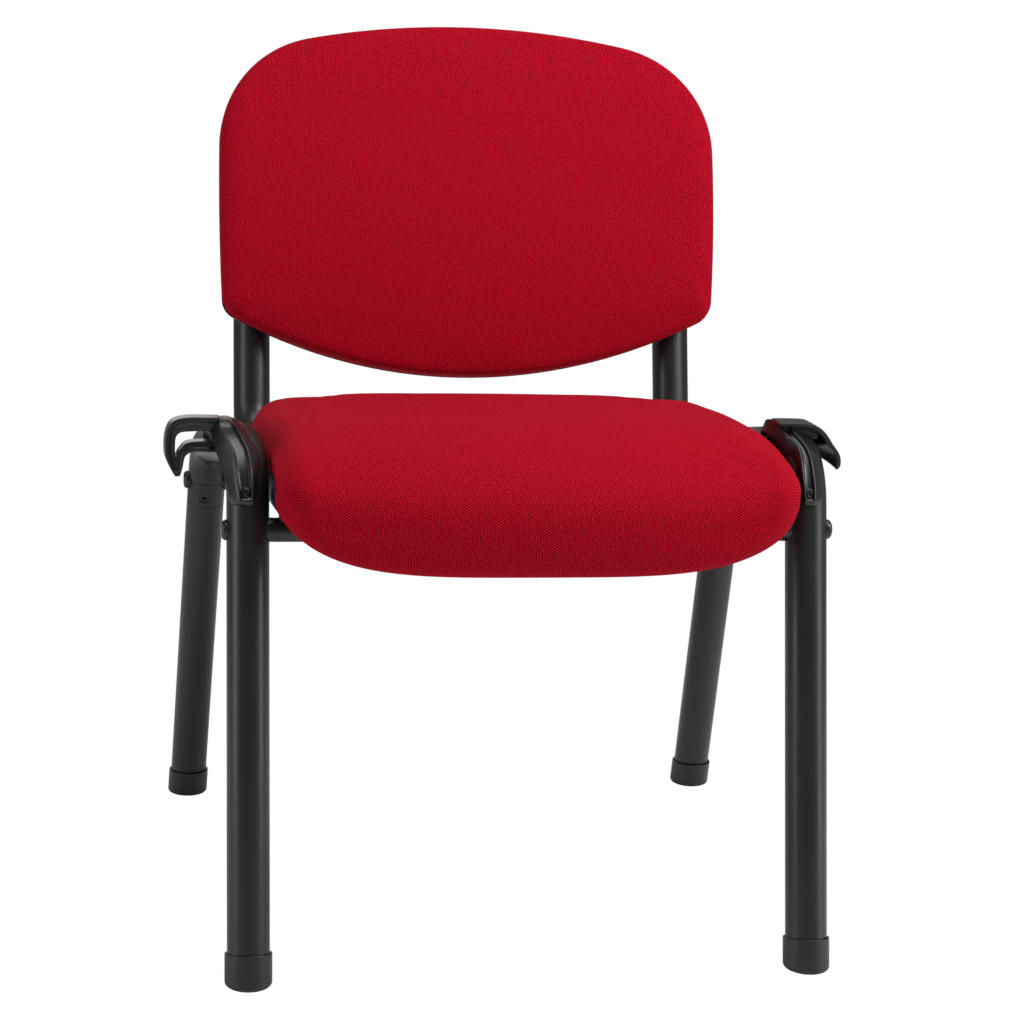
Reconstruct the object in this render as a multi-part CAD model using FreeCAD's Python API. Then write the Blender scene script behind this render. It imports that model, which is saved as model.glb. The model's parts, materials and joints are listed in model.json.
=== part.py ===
import FreeCAD, Part
import math
import os

os.makedirs("parts", exist_ok=True)

Vector = FreeCAD.Vector

# Lengths in mm, angles in degrees. +Z is up, the chair faces -Y, and X = 0 is its middle plane.

# Tubes
TUBE_OD = 35.0
TUBE_WALL = 1.5

# Widths, carried outward from the seat
SEAT_WIDTH = 432.0
SEAT_TO_LEG = 2.0               # the seat's side to the inside of a front leg, set out on the floor
BACK_TUBE_INSET = 16.5          # front end of a back tube, its axis inside the seat's side
UPRIGHT_SPREAD = 8.5            # an upright's axis, outside the front end of its tube
BACK_OVERHANG = 33.0            # the back rest's side, outside the upright's axis
PAN_SIDE_INSET = 4.0            # the pan's side, inside the seat's side
SEAT_LIP_PAST = 4.0             # where the lip's curve would run out, outside the seat's side

# Side frames
FOOT_DEPTH = 498.0              # front to rear leg axis on the floor
FRONT_FOOT_AHEAD = 254.0        # front leg axis on the floor, ahead of the middle of the chair's depth
TOE_OUT = 3.26                  # each side opens towards the rear
LEAN_IN = 0.63                  # each side leans towards the middle
FRONT_LEAN = 12.0               # front leg, its top to the rear
REAR_LEAN = 18.2                # rear leg, its top to the front
RAIL_HEIGHT = 431.4             # where the front leg axis meets the rail axis
RAIL_FALL = 10.0                # the rail falls towards the rear
FRONT_BEND_RADIUS = 52.0
REAR_BEND_RADIUS = 45.0
SEAM_DROP = 60.0                # from the rear corner down the leg to its seam
SEAM_GAP = 0.4

# Coupling in each rear leg seam
SLIP = 0.05                     # radial clearance of a fitted round part
COUPLING_BORE = 14.0
COUPLING_ABOVE = 29.0
COUPLING_BELOW = 55.0
PAD_WIDTH = 30.0
PAD_HEIGHT = 24.0
PAD_CORNER = 4.0
PAD_TURN = 10.0                 # turned outward from straight ahead
NOTCH_GAP = 0.4
PAD_SCREW_RISE = 10.0
PAD_SCREW_HEAD = 9.4
PAD_SCREW_SHANK = 5.0
PAD_COUNTERBORE = 10.0
PAD_SCREW_SEAT = 12.0           # from the leg axis to the underside of the head
PAD_SCREW_TOP = 16.4
SOCKET_WIDTH = 4.0              # across the flats
SOCKET_DEPTH = 2.6

# Foot caps
CAP_OD = 39.0
CAP_HEIGHT = 26.0
CAP_FLOOR = 4.0
CAP_ROUND = 3.0

# Crossbars
BAR_OD = 20.0
BAR_WALL = 1.5
FRONT_BAR_RISE = 362.0
REAR_BAR_RISE = 21.0            # above the seam, along the stub
COLLAR_LENGTH = 4.0             # beyond the leg's inner face
SPIGOT_LENGTH = 25.0
BOLT_OD = 8.0
BOLT_CLEARANCE = 0.2
BOLT_END_INSET = 5.0            # the bolt stops this short of the spigot's inner end
BOLT_HEAD_OD = 17.0
BOLT_HEAD_RISE = 4.2            # of the dome above the leg's outer face
BOLT_HEAD_ROUND = 3.6           # rounding of the dome's edge
SADDLE_WIDTH = 22.0             # weld block between a crossbar and a back tube
SADDLE_DEPTH = 12.0

# Back tubes
BACK_TUBE_AHEAD = 10.0          # its front end, ahead of the front crossbar axis
BACK_CORNER_BACK = 46.0         # its corner, behind the rear crossbar axis
BACK_BEND_RADIUS = 50.0
BACK_LEAN = 14.0
UPRIGHT_LENGTH = 318.0          # from the corner to its top
PLUG_FLANGE = 2.0
PLUG_LENGTH = 16.0

# Seat, measured from the tops of the back tubes above the front crossbar
SEAT_NOSE = 80.0                # ahead
SEAT_REAR = 343.0               # behind
SEAT_HEIGHT = 38.0
SEAT_CROWN = 5.0
SEAT_EDGE_CROWN = 0.3           # of the crown, what is left at the side edge
SEAT_LIP_DROP = 76.0
SEAT_LIP_FACE = 26.0            # rear face of the lip, ahead of the crossbar axis
SEAT_NOSE_BOW = 10.0            # the nose bows forward in plan
SEAT_NOSE_CORNER = 24.0
SEAT_REAR_BOW = 8.0
SEAT_FALL_START = 55.0          # where the top starts to fall towards the nose
SEAT_NOSE_SHARE = 0.61          # how far down the front the foremost line lies
SEAT_EDGE = 20.0                # rounding of the upper side edge
SEAT_EDGE_STEPS = 3             # sections around it
SEAT_UNDER_EDGE = 4.0           # rounding of the lower side edge
SEAT_REAR_UNDER_SHARE = 0.3
SEAT_LIP_BEND = 14.0
SEAT_LIP_ROUND_SHARE = 0.18
SEAT_GAP = 0.3                  # foam clear of its neighbours

# Seat pan
PAN_THICK = 9.0
PAN_REAR_INSET = 14.0
PAN_LIP_WIDTH = 300.0
PAN_LIP_DROP = 40.0
SEAT_SCREW_FRONT = 45.0         # behind the front crossbar axis
SEAT_SCREW_REAR = 170.0
SCREW_OD = 6.0
SCREW_HEAD_OD = 12.0
SCREW_HEAD = 4.0
SCREW_CLEARANCE = 0.2
SCREW_ACCESS = 13.5
NUT_BARREL_OD = 8.0
NUT_FLANGE_OD = 12.0
NUT_FLANGE = 1.5

# Back rest, in the leaning plane of the uprights
BACK_HEIGHT = 341.0
BACK_LIFT = 67.0                # its lowest point above the corner of the back tubes
BACK_TOP_RADIUS = 690.0
BACK_SHOULDER = 110.0
BACK_SIDE_BOW = 3.0
BACK_BOTTOM_RADIUS = 520.0
BACK_LOWER_CORNER = 19.0
BOARD_CORNER = 6.3              # lower corners of the board
BACK_WRAP = 950.0               # radius of the shell's rear face in plan
BACK_FACE_WRAP = 1900.0         # radius of the front face in plan
BACK_FACE_CROWN = 1500.0        # radius of the front face upright
BACK_THICK = 44.0
BACK_EDGE = 9.0
SHELL_THICK = 3.0
BOARD_THICK = 8.0
BOARD_INSET = 16.0
SPACER_OD = 16.0
SPACER_LENGTH = 6.0             # shell to the front of the upright
BACK_SCREW_LOW = 95.0
BACK_SCREW_HIGH = 215.0
INSERT_OD = 9.0

# Links on the front bends
LINK_GAP = 0.1
LINK_START = 3.0                # degrees past the start of the bend
LINK_END = 3.0                  # degrees before its end
LINK_LIFT = 5.0                 # of the saddle over the tube
LINK_CHANNEL = 2.6
LINK_RIM = 2.5
LINK_SKIRT = 4.0                # the saddle ends this far below the tube axis
LINK_LOW_INNER = -11.0          # edges of the saddle at its lower end, from the tube axis outward
LINK_LOW_CHANNEL = -6.0
LINK_LOW_RIDGE = 6.0
LINK_LOW_OUTER = 17.0
LINK_TOP_INNER = -10.0          # and at its upper end; the hook's upper end leans to the other side
LINK_TOP_CHANNEL = 4.0
LINK_TOP_RIDGE = 20.0
LINK_TOP_OUTER = 25.0
LINK_STATIONS = 5
LINK_ROOT = 12.0                # where the loop's arms start, from the tube axis outward
LINK_BACK = 2.0                 # rear face of the arms, behind the bend's centre
LINK_DEPTH = 20.0
LOOP_REACH = 57.5               # from the tube axis outward
LOOP_DROP = 49.0
LOOP_ARM = 12.0
LOOP_WINDOW = 7.6               # height of the window at its inner end
LOOP_LOWER_ARM = 9.2
LOOP_WALL = 8.4
LOOP_CORNER = 15.0
LOOP_TIP_WIDTH = 12.0
LOOP_TIP_ROUND = 4.0
LOOP_TIP_SLOPE = 8.0            # the tip's outer corner, inside the reach
LOOP_TIP_POINT = 10.4           # the tip's lowest point, inside the reach
LOOP_CURL = 16.0                # radius under the lower arm
HOOK_ROOT = -8.0                # where its arm starts on the saddle
HOOK_REACH = 49.5
HOOK_DROP = 41.0
HOOK_RIM = 5.0
HOOK_CORNER = 22.0              # half axes of the curve, outward and down
HOOK_CORNER_DROP = 33.0
HOOK_DEPTH = 28.0
HOOK_RIB = 12.0
HOOK_RIB_DEPTH = 14.0
HOOK_RIB_END = 40.0
LINK_SCREW_TURN = 9.0           # degrees from the lower end of the saddle
LINK_SCREW_OUT = -1.25          # from the tube axis outward
LINK_SCREW_OD = 5.0
LINK_SCREW_HEAD_OD = 7.0
LINK_SCREW_HEAD = 2.4

TUBE_R = TUBE_OD / 2
BORE_R = TUBE_R - TUBE_WALL
BAR_R = BAR_OD / 2
FRONT_FOOT_SPAN = SEAT_WIDTH + 2 * (SEAT_TO_LEG + TUBE_R)
BACK_FRONT_SPAN = SEAT_WIDTH - 2 * BACK_TUBE_INSET
BACK_UPRIGHT_SPAN = BACK_FRONT_SPAN + 2 * UPRIGHT_SPREAD
BACK_WIDTH = BACK_UPRIGHT_SPAN + 2 * BACK_OVERHANG
PAN_WIDTH = SEAT_WIDTH - 2 * PAN_SIDE_INSET
SEAT_LIP_WIDTH = SEAT_WIDTH + 2 * SEAT_LIP_PAST
BACK_ROOM = BACK_THICK * 3      # depth that surely takes in the whole back rest
CUT_PAST = 1.0                  # how far a cut runs past the face it opens
ACROSS = Vector(1, 0, 0)
FAR = 2000.0
TINY = 0.01


def heading(angle):
    """Unit vector in the plane of a side, the angle counted from the rear towards up."""
    turn = math.radians(angle)
    return Vector(0, math.cos(turn), math.sin(turn))


def meet(point, along, other, other_along):
    """Crossing of two lines in the plane of a side."""
    gap = other - point
    cross = along.y * other_along.z - along.z * other_along.y
    reach = (gap.y * other_along.z - gap.z * other_along.y) / cross
    return point + along * reach


def frame_at(origin, across, back, up):
    """Placement whose own X, Y and Z run across, back and up."""
    return FreeCAD.Placement(origin, FreeCAD.Rotation(across, back, up, "ZXY"))


def placed(shape, placement):
    moved = shape.copy()
    moved.Placement = placement.multiply(moved.Placement)
    return moved


def mirrored(shape):
    return shape.mirror(Vector(0, 0, 0), ACROSS)


def both_sides(shapes):
    return Part.makeCompound(shapes + [mirrored(shape) for shape in shapes])


def rod(radius, start, end):
    return Part.makeCylinder(radius, start.distanceToPoint(end), start, end - start)


def block(low, high):
    size = high - low
    return Part.makeBox(size.x, size.y, size.z, low)


def below(height):
    return block(Vector(-FAR, -FAR, -FAR), Vector(FAR, FAR, height))


def above(height):
    return block(Vector(-FAR, -FAR, height), Vector(FAR, FAR, FAR))


def bent_path(points, radii):
    """Straight runs through the points, joined by tangent arcs."""
    edges = []
    start = points[0]
    for before, corner, after, radius in zip(points, points[1:], points[2:], radii):
        into = (corner - before).normalize()
        out = (after - corner).normalize()
        half = into.getAngle(out) / 2
        reach = radius * math.tan(half)
        begin = corner - into * reach
        end = corner + out * reach
        middle = corner + (out - into).normalize() * radius * (1 / math.cos(half) - 1)
        edges.append(Part.makeLine(start, begin))
        edges.append(Part.Arc(begin, middle, end).toShape())
        start = end
    edges.append(Part.makeLine(start, points[-1]))
    return Part.Wire(edges)


def pipe(points, radii, radius):
    ring = Part.makeCircle(radius, points[0], points[1] - points[0])
    return bent_path(points, radii).makePipeShell([Part.Wire(ring)], True, True)


def polygon(points):
    return Part.makePolygon(points + points[:1])


def quarter(centre, first, second):
    """Quarter of an ellipse from the end of one half axis to the end of the other."""
    pull = 4 * (math.sqrt(2) - 1) / 3
    start = centre + first
    end = centre + second
    curve = Part.BezierCurve()
    curve.setPoles([start, start + second * pull, end + first * pull, end])
    return curve.toShape()


# The plane of the right side: X outward, Y to the rear along the side, Z up the side
toe = math.radians(TOE_OUT)
lean = math.radians(LEAN_IN)
side_back = Vector(math.sin(toe), math.cos(toe), 0)
side_up = Vector(-math.sin(lean), 0, math.cos(lean))
side_foot = Vector(FRONT_FOOT_SPAN / 2, -FRONT_FOOT_AHEAD, 0)
SIDE = frame_at(side_foot, side_back.cross(side_up), side_back, side_up)

FRONT_UP = heading(90 - FRONT_LEAN)
RAIL_BACK = heading(-RAIL_FALL)
STUB_UP = heading(90 + REAR_LEAN)
FRONT_FOOT = Vector(0, 0, 0)
REAR_FOOT = Vector(0, FOOT_DEPTH, 0)
FRONT_CORNER = FRONT_UP * (RAIL_HEIGHT / FRONT_UP.z)
REAR_CORNER = meet(FRONT_CORNER, RAIL_BACK, REAR_FOOT, STUB_UP)
SEAM = REAR_CORNER - STUB_UP * SEAM_DROP
FRONT_BAR = SIDE.multVec(FRONT_UP * (FRONT_BAR_RISE / FRONT_UP.z))
REAR_BAR = SIDE.multVec(SEAM + STUB_UP * REAR_BAR_RISE)
STUB = SIDE.multiply(frame_at(SEAM, ACROSS, STUB_UP.cross(ACROSS), STUB_UP))

# The back tubes lie on both crossbars and stand up behind the seat
run_front = Vector(0, FRONT_BAR.y, FRONT_BAR.z + BAR_R + TUBE_R)
run_rear = Vector(0, REAR_BAR.y, REAR_BAR.z + BAR_R + TUBE_R)
RUN = (run_rear - run_front).normalize()
UPRIGHT = heading(90 - BACK_LEAN)
BACK_CORNER = run_rear + RUN * BACK_CORNER_BACK
SEAT_UP = ACROSS.cross(RUN)
SEAT = frame_at(run_front + SEAT_UP * TUBE_R, ACROSS, RUN, SEAT_UP)
BACK = frame_at(BACK_CORNER + UPRIGHT * BACK_LIFT, ACROSS, UPRIGHT.cross(ACROSS), UPRIGHT)


def side_path(past_seam):
    start = FRONT_FOOT - FRONT_UP * CAP_OD
    return [start, FRONT_CORNER, REAR_CORNER, SEAM - STUB_UP * past_seam]


def side_solid(radius, past_seam=0.0):
    radii = [FRONT_BEND_RADIUS, REAR_BEND_RADIUS]
    return placed(pipe(side_path(past_seam), radii, radius), SIDE)


def pad_block(grow):
    """Block that faces forward from the stub axis and bounds the coupling's pad."""
    half = PAD_WIDTH / 2 + grow
    top = PAD_HEIGHT + grow
    solid = block(Vector(-half, -TUBE_OD, -grow), Vector(half, 0, top))
    corners = [e for e in solid.Edges if e.BoundBox.ZMin > top - TINY and e.BoundBox.XLength < TINY]
    solid = solid.makeFillet(PAD_CORNER + grow, corners)
    solid.rotate(Vector(0, 0, 0), Vector(0, 0, 1), PAD_TURN)
    return placed(solid, STUB)


def side_tube():
    tube = side_solid(TUBE_R).cut(side_solid(BORE_R, CUT_PAST)).cut(below(CAP_FLOOR))
    holes = [bolt_hole(FRONT_BAR), bolt_hole(REAR_BAR), link_screw_hole()]
    return tube.cut(holes + [pad_block(NOTCH_GAP)])


def rear_leg():
    top = SEAM - STUB_UP * SEAM_GAP
    bottom = REAR_FOOT - STUB_UP * CAP_OD
    leg = placed(rod(TUBE_R, bottom, top).cut(rod(BORE_R, bottom, top)), SIDE)
    return leg.cut(below(CAP_FLOOR))


def leg_coupling():
    low = SEAM - STUB_UP * COUPLING_BELOW
    high = SEAM + STUB_UP * COUPLING_ABOVE
    plug = placed(rod(BORE_R - SLIP, low, high), SIDE)
    pad = placed(rod(TUBE_R, SEAM, high), SIDE).common(pad_block(0.0))
    solid = plug.fuse(pad).removeSplitter()
    solid = solid.cut(placed(rod(COUPLING_BORE / 2, low, high), SIDE))
    counterbore = pad_rod(PAD_COUNTERBORE / 2, PAD_SCREW_SEAT, TUBE_OD)
    shank = pad_rod(PAD_SCREW_SHANK / 2 + SLIP, 0, TUBE_OD)
    return solid.cut([counterbore, shank, bolt_hole(REAR_BAR)])


def pad_rod(radius, start, end):
    """Rod along the pad's facing, its ends measured from the stub axis."""
    solid = rod(radius, Vector(0, -start, PAD_SCREW_RISE), Vector(0, -end, PAD_SCREW_RISE))
    solid.rotate(Vector(0, 0, 0), Vector(0, 0, 1), PAD_TURN)
    return placed(solid, STUB)


def hex_rod(width, depth):
    """Hexagonal prism along -Y, its face on the XZ plane."""
    radius = width / math.sqrt(3)
    turns = [i * math.pi / 3 for i in range(6)]
    corners = [Vector(radius * math.cos(turn), 0, radius * math.sin(turn)) for turn in turns]
    return Part.Face(polygon(corners)).extrude(Vector(0, -depth, 0))


def pad_screw():
    head = pad_rod(PAD_SCREW_HEAD / 2, PAD_SCREW_SEAT, PAD_SCREW_TOP)
    shank = pad_rod(PAD_SCREW_SHANK / 2, COUPLING_BORE / 2, PAD_SCREW_TOP)
    socket = hex_rod(SOCKET_WIDTH, SOCKET_DEPTH * 2)
    socket.translate(Vector(0, SOCKET_DEPTH - PAD_SCREW_TOP, PAD_SCREW_RISE))
    socket.rotate(Vector(0, 0, 0), Vector(0, 0, 1), PAD_TURN)
    return head.fuse(shank).removeSplitter().cut(placed(socket, STUB))


def foot_cap(foot, up, rim_on_floor):
    """Cap on a leg's end; its floor is level, its rim is level or square to the leg."""
    rim = CAP_HEIGHT + CAP_OD if rim_on_floor else CAP_HEIGHT
    outer = placed(rod(CAP_OD / 2, foot - up * CAP_OD, foot + up * rim), SIDE).cut(below(0))
    if rim_on_floor:
        outer = outer.cut(above(CAP_HEIGHT))
    sole = [e for e in outer.Edges if e.BoundBox.ZMax < TINY]
    outer = outer.makeFillet(CAP_ROUND, sole)
    bore = placed(rod(TUBE_R + SLIP, foot - up * CAP_OD, foot + up * (rim + CUT_PAST)), SIDE)
    return outer.cut(bore.cut(below(CAP_FLOOR)))


def bolt_hole(axis):
    reach = ACROSS * (TUBE_OD + SPIGOT_LENGTH)
    return rod(BOLT_OD / 2 + BOLT_CLEARANCE, axis - reach, axis + reach)


def bar_end(axis):
    """Where a crossbar stops: at the flange of its collar."""
    return axis.x - TUBE_R - COLLAR_LENGTH


def crossbar(axis):
    end = Vector(bar_end(axis), axis.y, axis.z)
    start = Vector(-end.x, end.y, end.z)
    bar = rod(BAR_R, start, end)
    for centre in (-BACK_FRONT_SPAN / 2, BACK_FRONT_SPAN / 2):
        place = Vector(centre * run_share(axis), axis.y, axis.z)
        half = Vector(SADDLE_WIDTH / 2, SADDLE_DEPTH / 2, 0)
        bar = bar.fuse(block(place - half, place + half + Vector(0, 0, BAR_R + TUBE_R)))
    tubes = [back_solid(TUBE_R), mirrored(back_solid(TUBE_R))]
    return bar.removeSplitter().cut(tubes).cut(rod(BAR_R - BAR_WALL, start, end))


def run_share(axis):
    """How much wider than at their front the back tubes stand over a crossbar."""
    share = (axis.y - FRONT_BAR.y) / (BACK_CORNER.y - FRONT_BAR.y)
    return 1 + share * (BACK_UPRIGHT_SPAN / BACK_FRONT_SPAN - 1)


def bar_insert(axis):
    """Collar coped to the leg, with a threaded spigot in the bar."""
    end = Vector(bar_end(axis), axis.y, axis.z)
    collar = rod(BAR_R, end, axis)
    spigot = rod(BAR_R - BAR_WALL - SLIP, end - ACROSS * SPIGOT_LENGTH, end)
    return collar.fuse(spigot).removeSplitter().cut([side_tube_envelope(axis), bolt_hole(axis)])


def side_tube_envelope(axis):
    """The leg around a crossbar's end, solid, with the seam of its surface turned away from the bolt."""
    up = FRONT_UP if axis.isEqual(FRONT_BAR, TINY) else STUB_UP
    centre = SIDE.inverse().multVec(axis)
    leg = rod(TUBE_R, centre - up * CAP_OD, centre + up * CAP_OD)
    leg.rotate(centre, up, 90)
    return placed(leg, SIDE)


def bar_bolt(axis):
    """Bolt from outside the leg into the insert, with a domed head coped to the leg."""
    inner = axis - ACROSS * (TUBE_R + COLLAR_LENGTH + SPIGOT_LENGTH - BOLT_END_INSET)
    top = axis + ACROSS * (TUBE_R + BOLT_HEAD_RISE)
    head = rod(BOLT_HEAD_OD / 2, axis, top)
    rim = [e for e in head.Edges if e.BoundBox.XMin > top.x - TINY]
    head = head.makeFillet(BOLT_HEAD_ROUND, rim).cut(side_tube_envelope(axis))
    shank = rod(BOLT_OD / 2, inner, axis + ACROSS * (TUBE_R + BOLT_HEAD_RISE / 2))
    return head.fuse(shank).removeSplitter()


def back_points():
    front = run_front - RUN * BACK_TUBE_AHEAD + ACROSS * (BACK_FRONT_SPAN / 2)
    corner = BACK_CORNER + ACROSS * (BACK_UPRIGHT_SPAN / 2)
    return [front, corner, corner + UPRIGHT * UPRIGHT_LENGTH]


def back_solid(radius):
    return pipe(back_points(), [BACK_BEND_RADIUS], radius)


def back_tube():
    holes = [seat_rod(SCREW_OD / 2 + SCREW_CLEARANCE, y, -TUBE_R, PAN_THICK) for y in seat_screw_places()]
    holes += [seat_rod(SCREW_ACCESS / 2, y, -TUBE_OD - CUT_PAST, -TUBE_R) for y in seat_screw_places()]
    holes += [back_rod(SCREW_OD / 2 + SCREW_CLEARANCE, z, -TUBE_OD, 0) for z in back_screw_places()]
    holes += [back_rod(SCREW_ACCESS / 2, z, 0, TUBE_OD) for z in back_screw_places()]
    return back_solid(TUBE_R).cut(back_solid(BORE_R)).cut(holes)


def tube_plug(end, inward):
    flange = rod(TUBE_R, end - inward * PLUG_FLANGE, end)
    body = rod(BORE_R - SLIP, end, end + inward * PLUG_LENGTH)
    return flange.fuse(body).removeSplitter()


def front_plug():
    front, corner, top = back_points()
    return tube_plug(front, (corner - front).normalize())


def top_plug():
    front, corner, top = back_points()
    return tube_plug(top, (corner - top).normalize())


def seat_screw_places():
    return [SEAT_SCREW_FRONT, SEAT_SCREW_REAR]


def seat_rod(radius, behind, low, high):
    """Rod square to the seat through the back tube's axis, its ends measured from the tube's top."""
    front, corner, top = back_points()
    axis = front + (corner - front).normalize() * (BACK_TUBE_AHEAD + behind)
    foot = axis + SEAT_UP * TUBE_R
    return rod(radius, foot + SEAT_UP * low, foot + SEAT_UP * high)


def seat_screw(behind):
    head = seat_rod(SCREW_HEAD_OD / 2, behind, -TUBE_WALL - SCREW_HEAD, 0).common(back_solid(BORE_R))
    shank = seat_rod(SCREW_OD / 2, behind, -TUBE_WALL - SCREW_HEAD / 2, PAN_THICK)
    return head.fuse(shank).removeSplitter()


def seat_nut(behind):
    barrel = seat_rod(NUT_BARREL_OD / 2, behind, SEAT_GAP, PAN_THICK)
    flange = seat_rod(NUT_FLANGE_OD / 2, behind, PAN_THICK - NUT_FLANGE, PAN_THICK)
    bore = seat_rod(SCREW_OD / 2 + SLIP, behind, 0, PAN_THICK)
    return barrel.fuse(flange).removeSplitter().cut(bore)


def seat_section(x):
    """Side profile of the upholstered seat at a distance from its middle."""
    half = SEAT_WIDTH / 2
    share = abs(x) / half
    over = max(0.0, abs(x) - half + SEAT_EDGE) / SEAT_EDGE
    rise = 1 - math.sqrt(max(0.0, 1 - over * over))
    under = SEAT_GAP + SEAT_UNDER_EDGE * rise
    top = SEAT_HEIGHT - SEAT_EDGE * rise
    lip = -SEAT_LIP_DROP * math.sqrt(1 - (2 * abs(x) / SEAT_LIP_WIDTH) ** 4)
    corner = max(0.0, abs(x) - half + SEAT_NOSE_CORNER) / SEAT_NOSE_CORNER
    inset = SEAT_NOSE_CORNER * (1 - math.sqrt(max(0.0, 1 - corner * corner)))
    nose = -SEAT_NOSE + SEAT_NOSE_BOW * share ** 2 + inset
    rear = SEAT_REAR - SEAT_REAR_BOW * share ** 2 - inset
    crown = SEAT_CROWN + (SEAT_EDGE_CROWN - SEAT_CROWN) * share ** 4

    waist = top - SEAT_NOSE_SHARE * (top - lip)
    lip_middle = (nose - SEAT_LIP_FACE) / 2
    lip_half = lip_middle + SEAT_LIP_FACE
    lip_round = SEAT_LIP_ROUND_SHARE * (under - lip)
    bend_low = under - SEAT_LIP_BEND
    low_round = SEAT_REAR_UNDER_SHARE * (top - under)
    high_round = top - under - low_round

    def at(y, z):
        return Vector(x, y, z)

    def run(y, z):
        return Vector(0, y, z)

    bend_end = at(-SEAT_LIP_FACE + SEAT_LIP_BEND, under)
    rear_low = at(rear - low_round, under)
    rear_top = at(rear - high_round, top)
    fall = at(SEAT_FALL_START, top)
    edges = [
        Part.makeLine(bend_end, rear_low),
        quarter(rear_low + run(0, low_round), run(0, -low_round), run(low_round, 0)),
        quarter(rear_top - run(0, high_round), run(high_round, 0), run(0, high_round)),
        Part.Arc(rear_top, (rear_top + fall) / 2 + run(0, crown), fall).toShape(),
        quarter(at(SEAT_FALL_START, waist), run(0, top - waist), run(nose - SEAT_FALL_START, 0)),
        quarter(at(lip_middle, waist), run(nose - lip_middle, 0), run(0, lip - waist)),
        quarter(at(lip_middle, lip + lip_round), run(0, -lip_round), run(-lip_half, 0)),
        Part.makeLine(at(-SEAT_LIP_FACE, lip + lip_round), at(-SEAT_LIP_FACE, bend_low)),
        quarter(bend_end - run(0, SEAT_LIP_BEND), run(-SEAT_LIP_BEND, 0), run(0, SEAT_LIP_BEND)),
    ]
    return Part.Wire(edges)


def seat_stations():
    """Distances from the middle: even steps, then closer ones around the rounded edge."""
    flat = SEAT_WIDTH / 2 - SEAT_EDGE
    inner = [flat * share for share in (0.0, 0.4, 0.75, 1.0)]
    turns = [math.pi / 2 * step / SEAT_EDGE_STEPS for step in range(1, SEAT_EDGE_STEPS + 1)]
    edge = [flat + SEAT_EDGE * math.sin(turn) for turn in turns]
    outward = inner + edge
    return [-x for x in reversed(outward[1:])] + outward


def seat_form():
    return placed(Part.makeLoft([seat_section(x) for x in seat_stations()], True, False), SEAT)


def pan_solid(grow):
    """Flat pan with a bent front lip; grown by the clearance it makes the pocket in the foam."""
    half = PAN_WIDTH / 2 + grow
    rear = SEAT_REAR - SEAT_REAR_BOW - PAN_REAR_INSET + grow
    turn = -SEAT_LIP_FACE + SEAT_LIP_BEND
    flat = block(Vector(-half, turn, 0), Vector(half, rear, PAN_THICK + grow))
    lip_half = PAN_LIP_WIDTH / 2 + grow
    centre = Vector(0, turn, -SEAT_LIP_BEND)
    left = centre - ACROSS * lip_half
    right = centre + ACROSS * lip_half
    bend = rod(SEAT_LIP_BEND + PAN_THICK + grow, left, right).cut(rod(SEAT_LIP_BEND, left, right))
    bend = bend.common(block(Vector(-half, -FAR, -SEAT_LIP_BEND), Vector(half, turn, FAR)))
    low = Vector(-lip_half, -SEAT_LIP_FACE - PAN_THICK - grow, -PAN_LIP_DROP - grow)
    lip = block(low, Vector(lip_half, -SEAT_LIP_FACE, -SEAT_LIP_BEND))
    return placed(flat.fuse([bend, lip]).removeSplitter(), SEAT)


def seat_pan():
    holes = []
    for behind in seat_screw_places():
        holes.append(seat_rod(NUT_BARREL_OD / 2, behind, -CUT_PAST, PAN_THICK))
        holes.append(seat_rod(NUT_FLANGE_OD / 2, behind, PAN_THICK - NUT_FLANGE, PAN_THICK + CUT_PAST))
    return pan_solid(0.0).cut(holes + [mirrored(hole) for hole in holes])


def seat_cushion():
    return seat_form().cut(pan_solid(SEAT_GAP))


def back_outline(inset):
    """Prism of the back's outline, square to its plane."""
    half = BACK_WIDTH / 2 - inset
    top = BACK_HEIGHT - inset
    edge = half - BACK_SIDE_BOW
    top_radius = BACK_TOP_RADIUS - inset
    bottom_radius = BACK_BOTTOM_RADIUS - inset
    high = top - top_radius + math.sqrt(top_radius ** 2 - edge ** 2)
    low = inset + bottom_radius - math.sqrt(bottom_radius ** 2 - edge ** 2)
    middle = (high + low) / 2

    def at(x, z):
        return Vector(x, -BACK_ROOM, z)

    edges = [
        Part.Arc(at(-edge, high), at(0, top), at(edge, high)).toShape(),
        Part.Arc(at(edge, high), at(half, middle), at(edge, low)).toShape(),
        Part.Arc(at(edge, low), at(0, inset), at(-edge, low)).toShape(),
        Part.Arc(at(-edge, low), at(-half, middle), at(-edge, high)).toShape(),
    ]
    solid = Part.Face(Part.Wire(edges)).extrude(Vector(0, BACK_ROOM * 2, 0))
    upright = [e for e in solid.Edges if e.BoundBox.YLength > BACK_THICK]
    shoulders = [e for e in upright if e.BoundBox.ZMin > middle]
    solid = solid.makeFillet(BACK_SHOULDER - inset, shoulders)
    upright = [e for e in solid.Edges if e.BoundBox.YLength > BACK_THICK]
    corners = [e for e in upright if e.BoundBox.ZMax < low + TINY]
    return solid.makeFillet(max(BACK_LOWER_CORNER - inset, BOARD_CORNER), corners)


def shell_axis():
    """Depth of the axis that the shell's rear face is curved about."""
    half = BACK_UPRIGHT_SPAN / 2
    return -TUBE_R - SPACER_LENGTH - math.sqrt(BACK_WRAP ** 2 - half ** 2)


def wrapped(radius):
    """Everything ahead of a face curved about the shell's axis."""
    low = Vector(0, shell_axis(), -BACK_HEIGHT)
    return rod(radius, low, low + Vector(0, 0, BACK_HEIGHT * 3))


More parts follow.
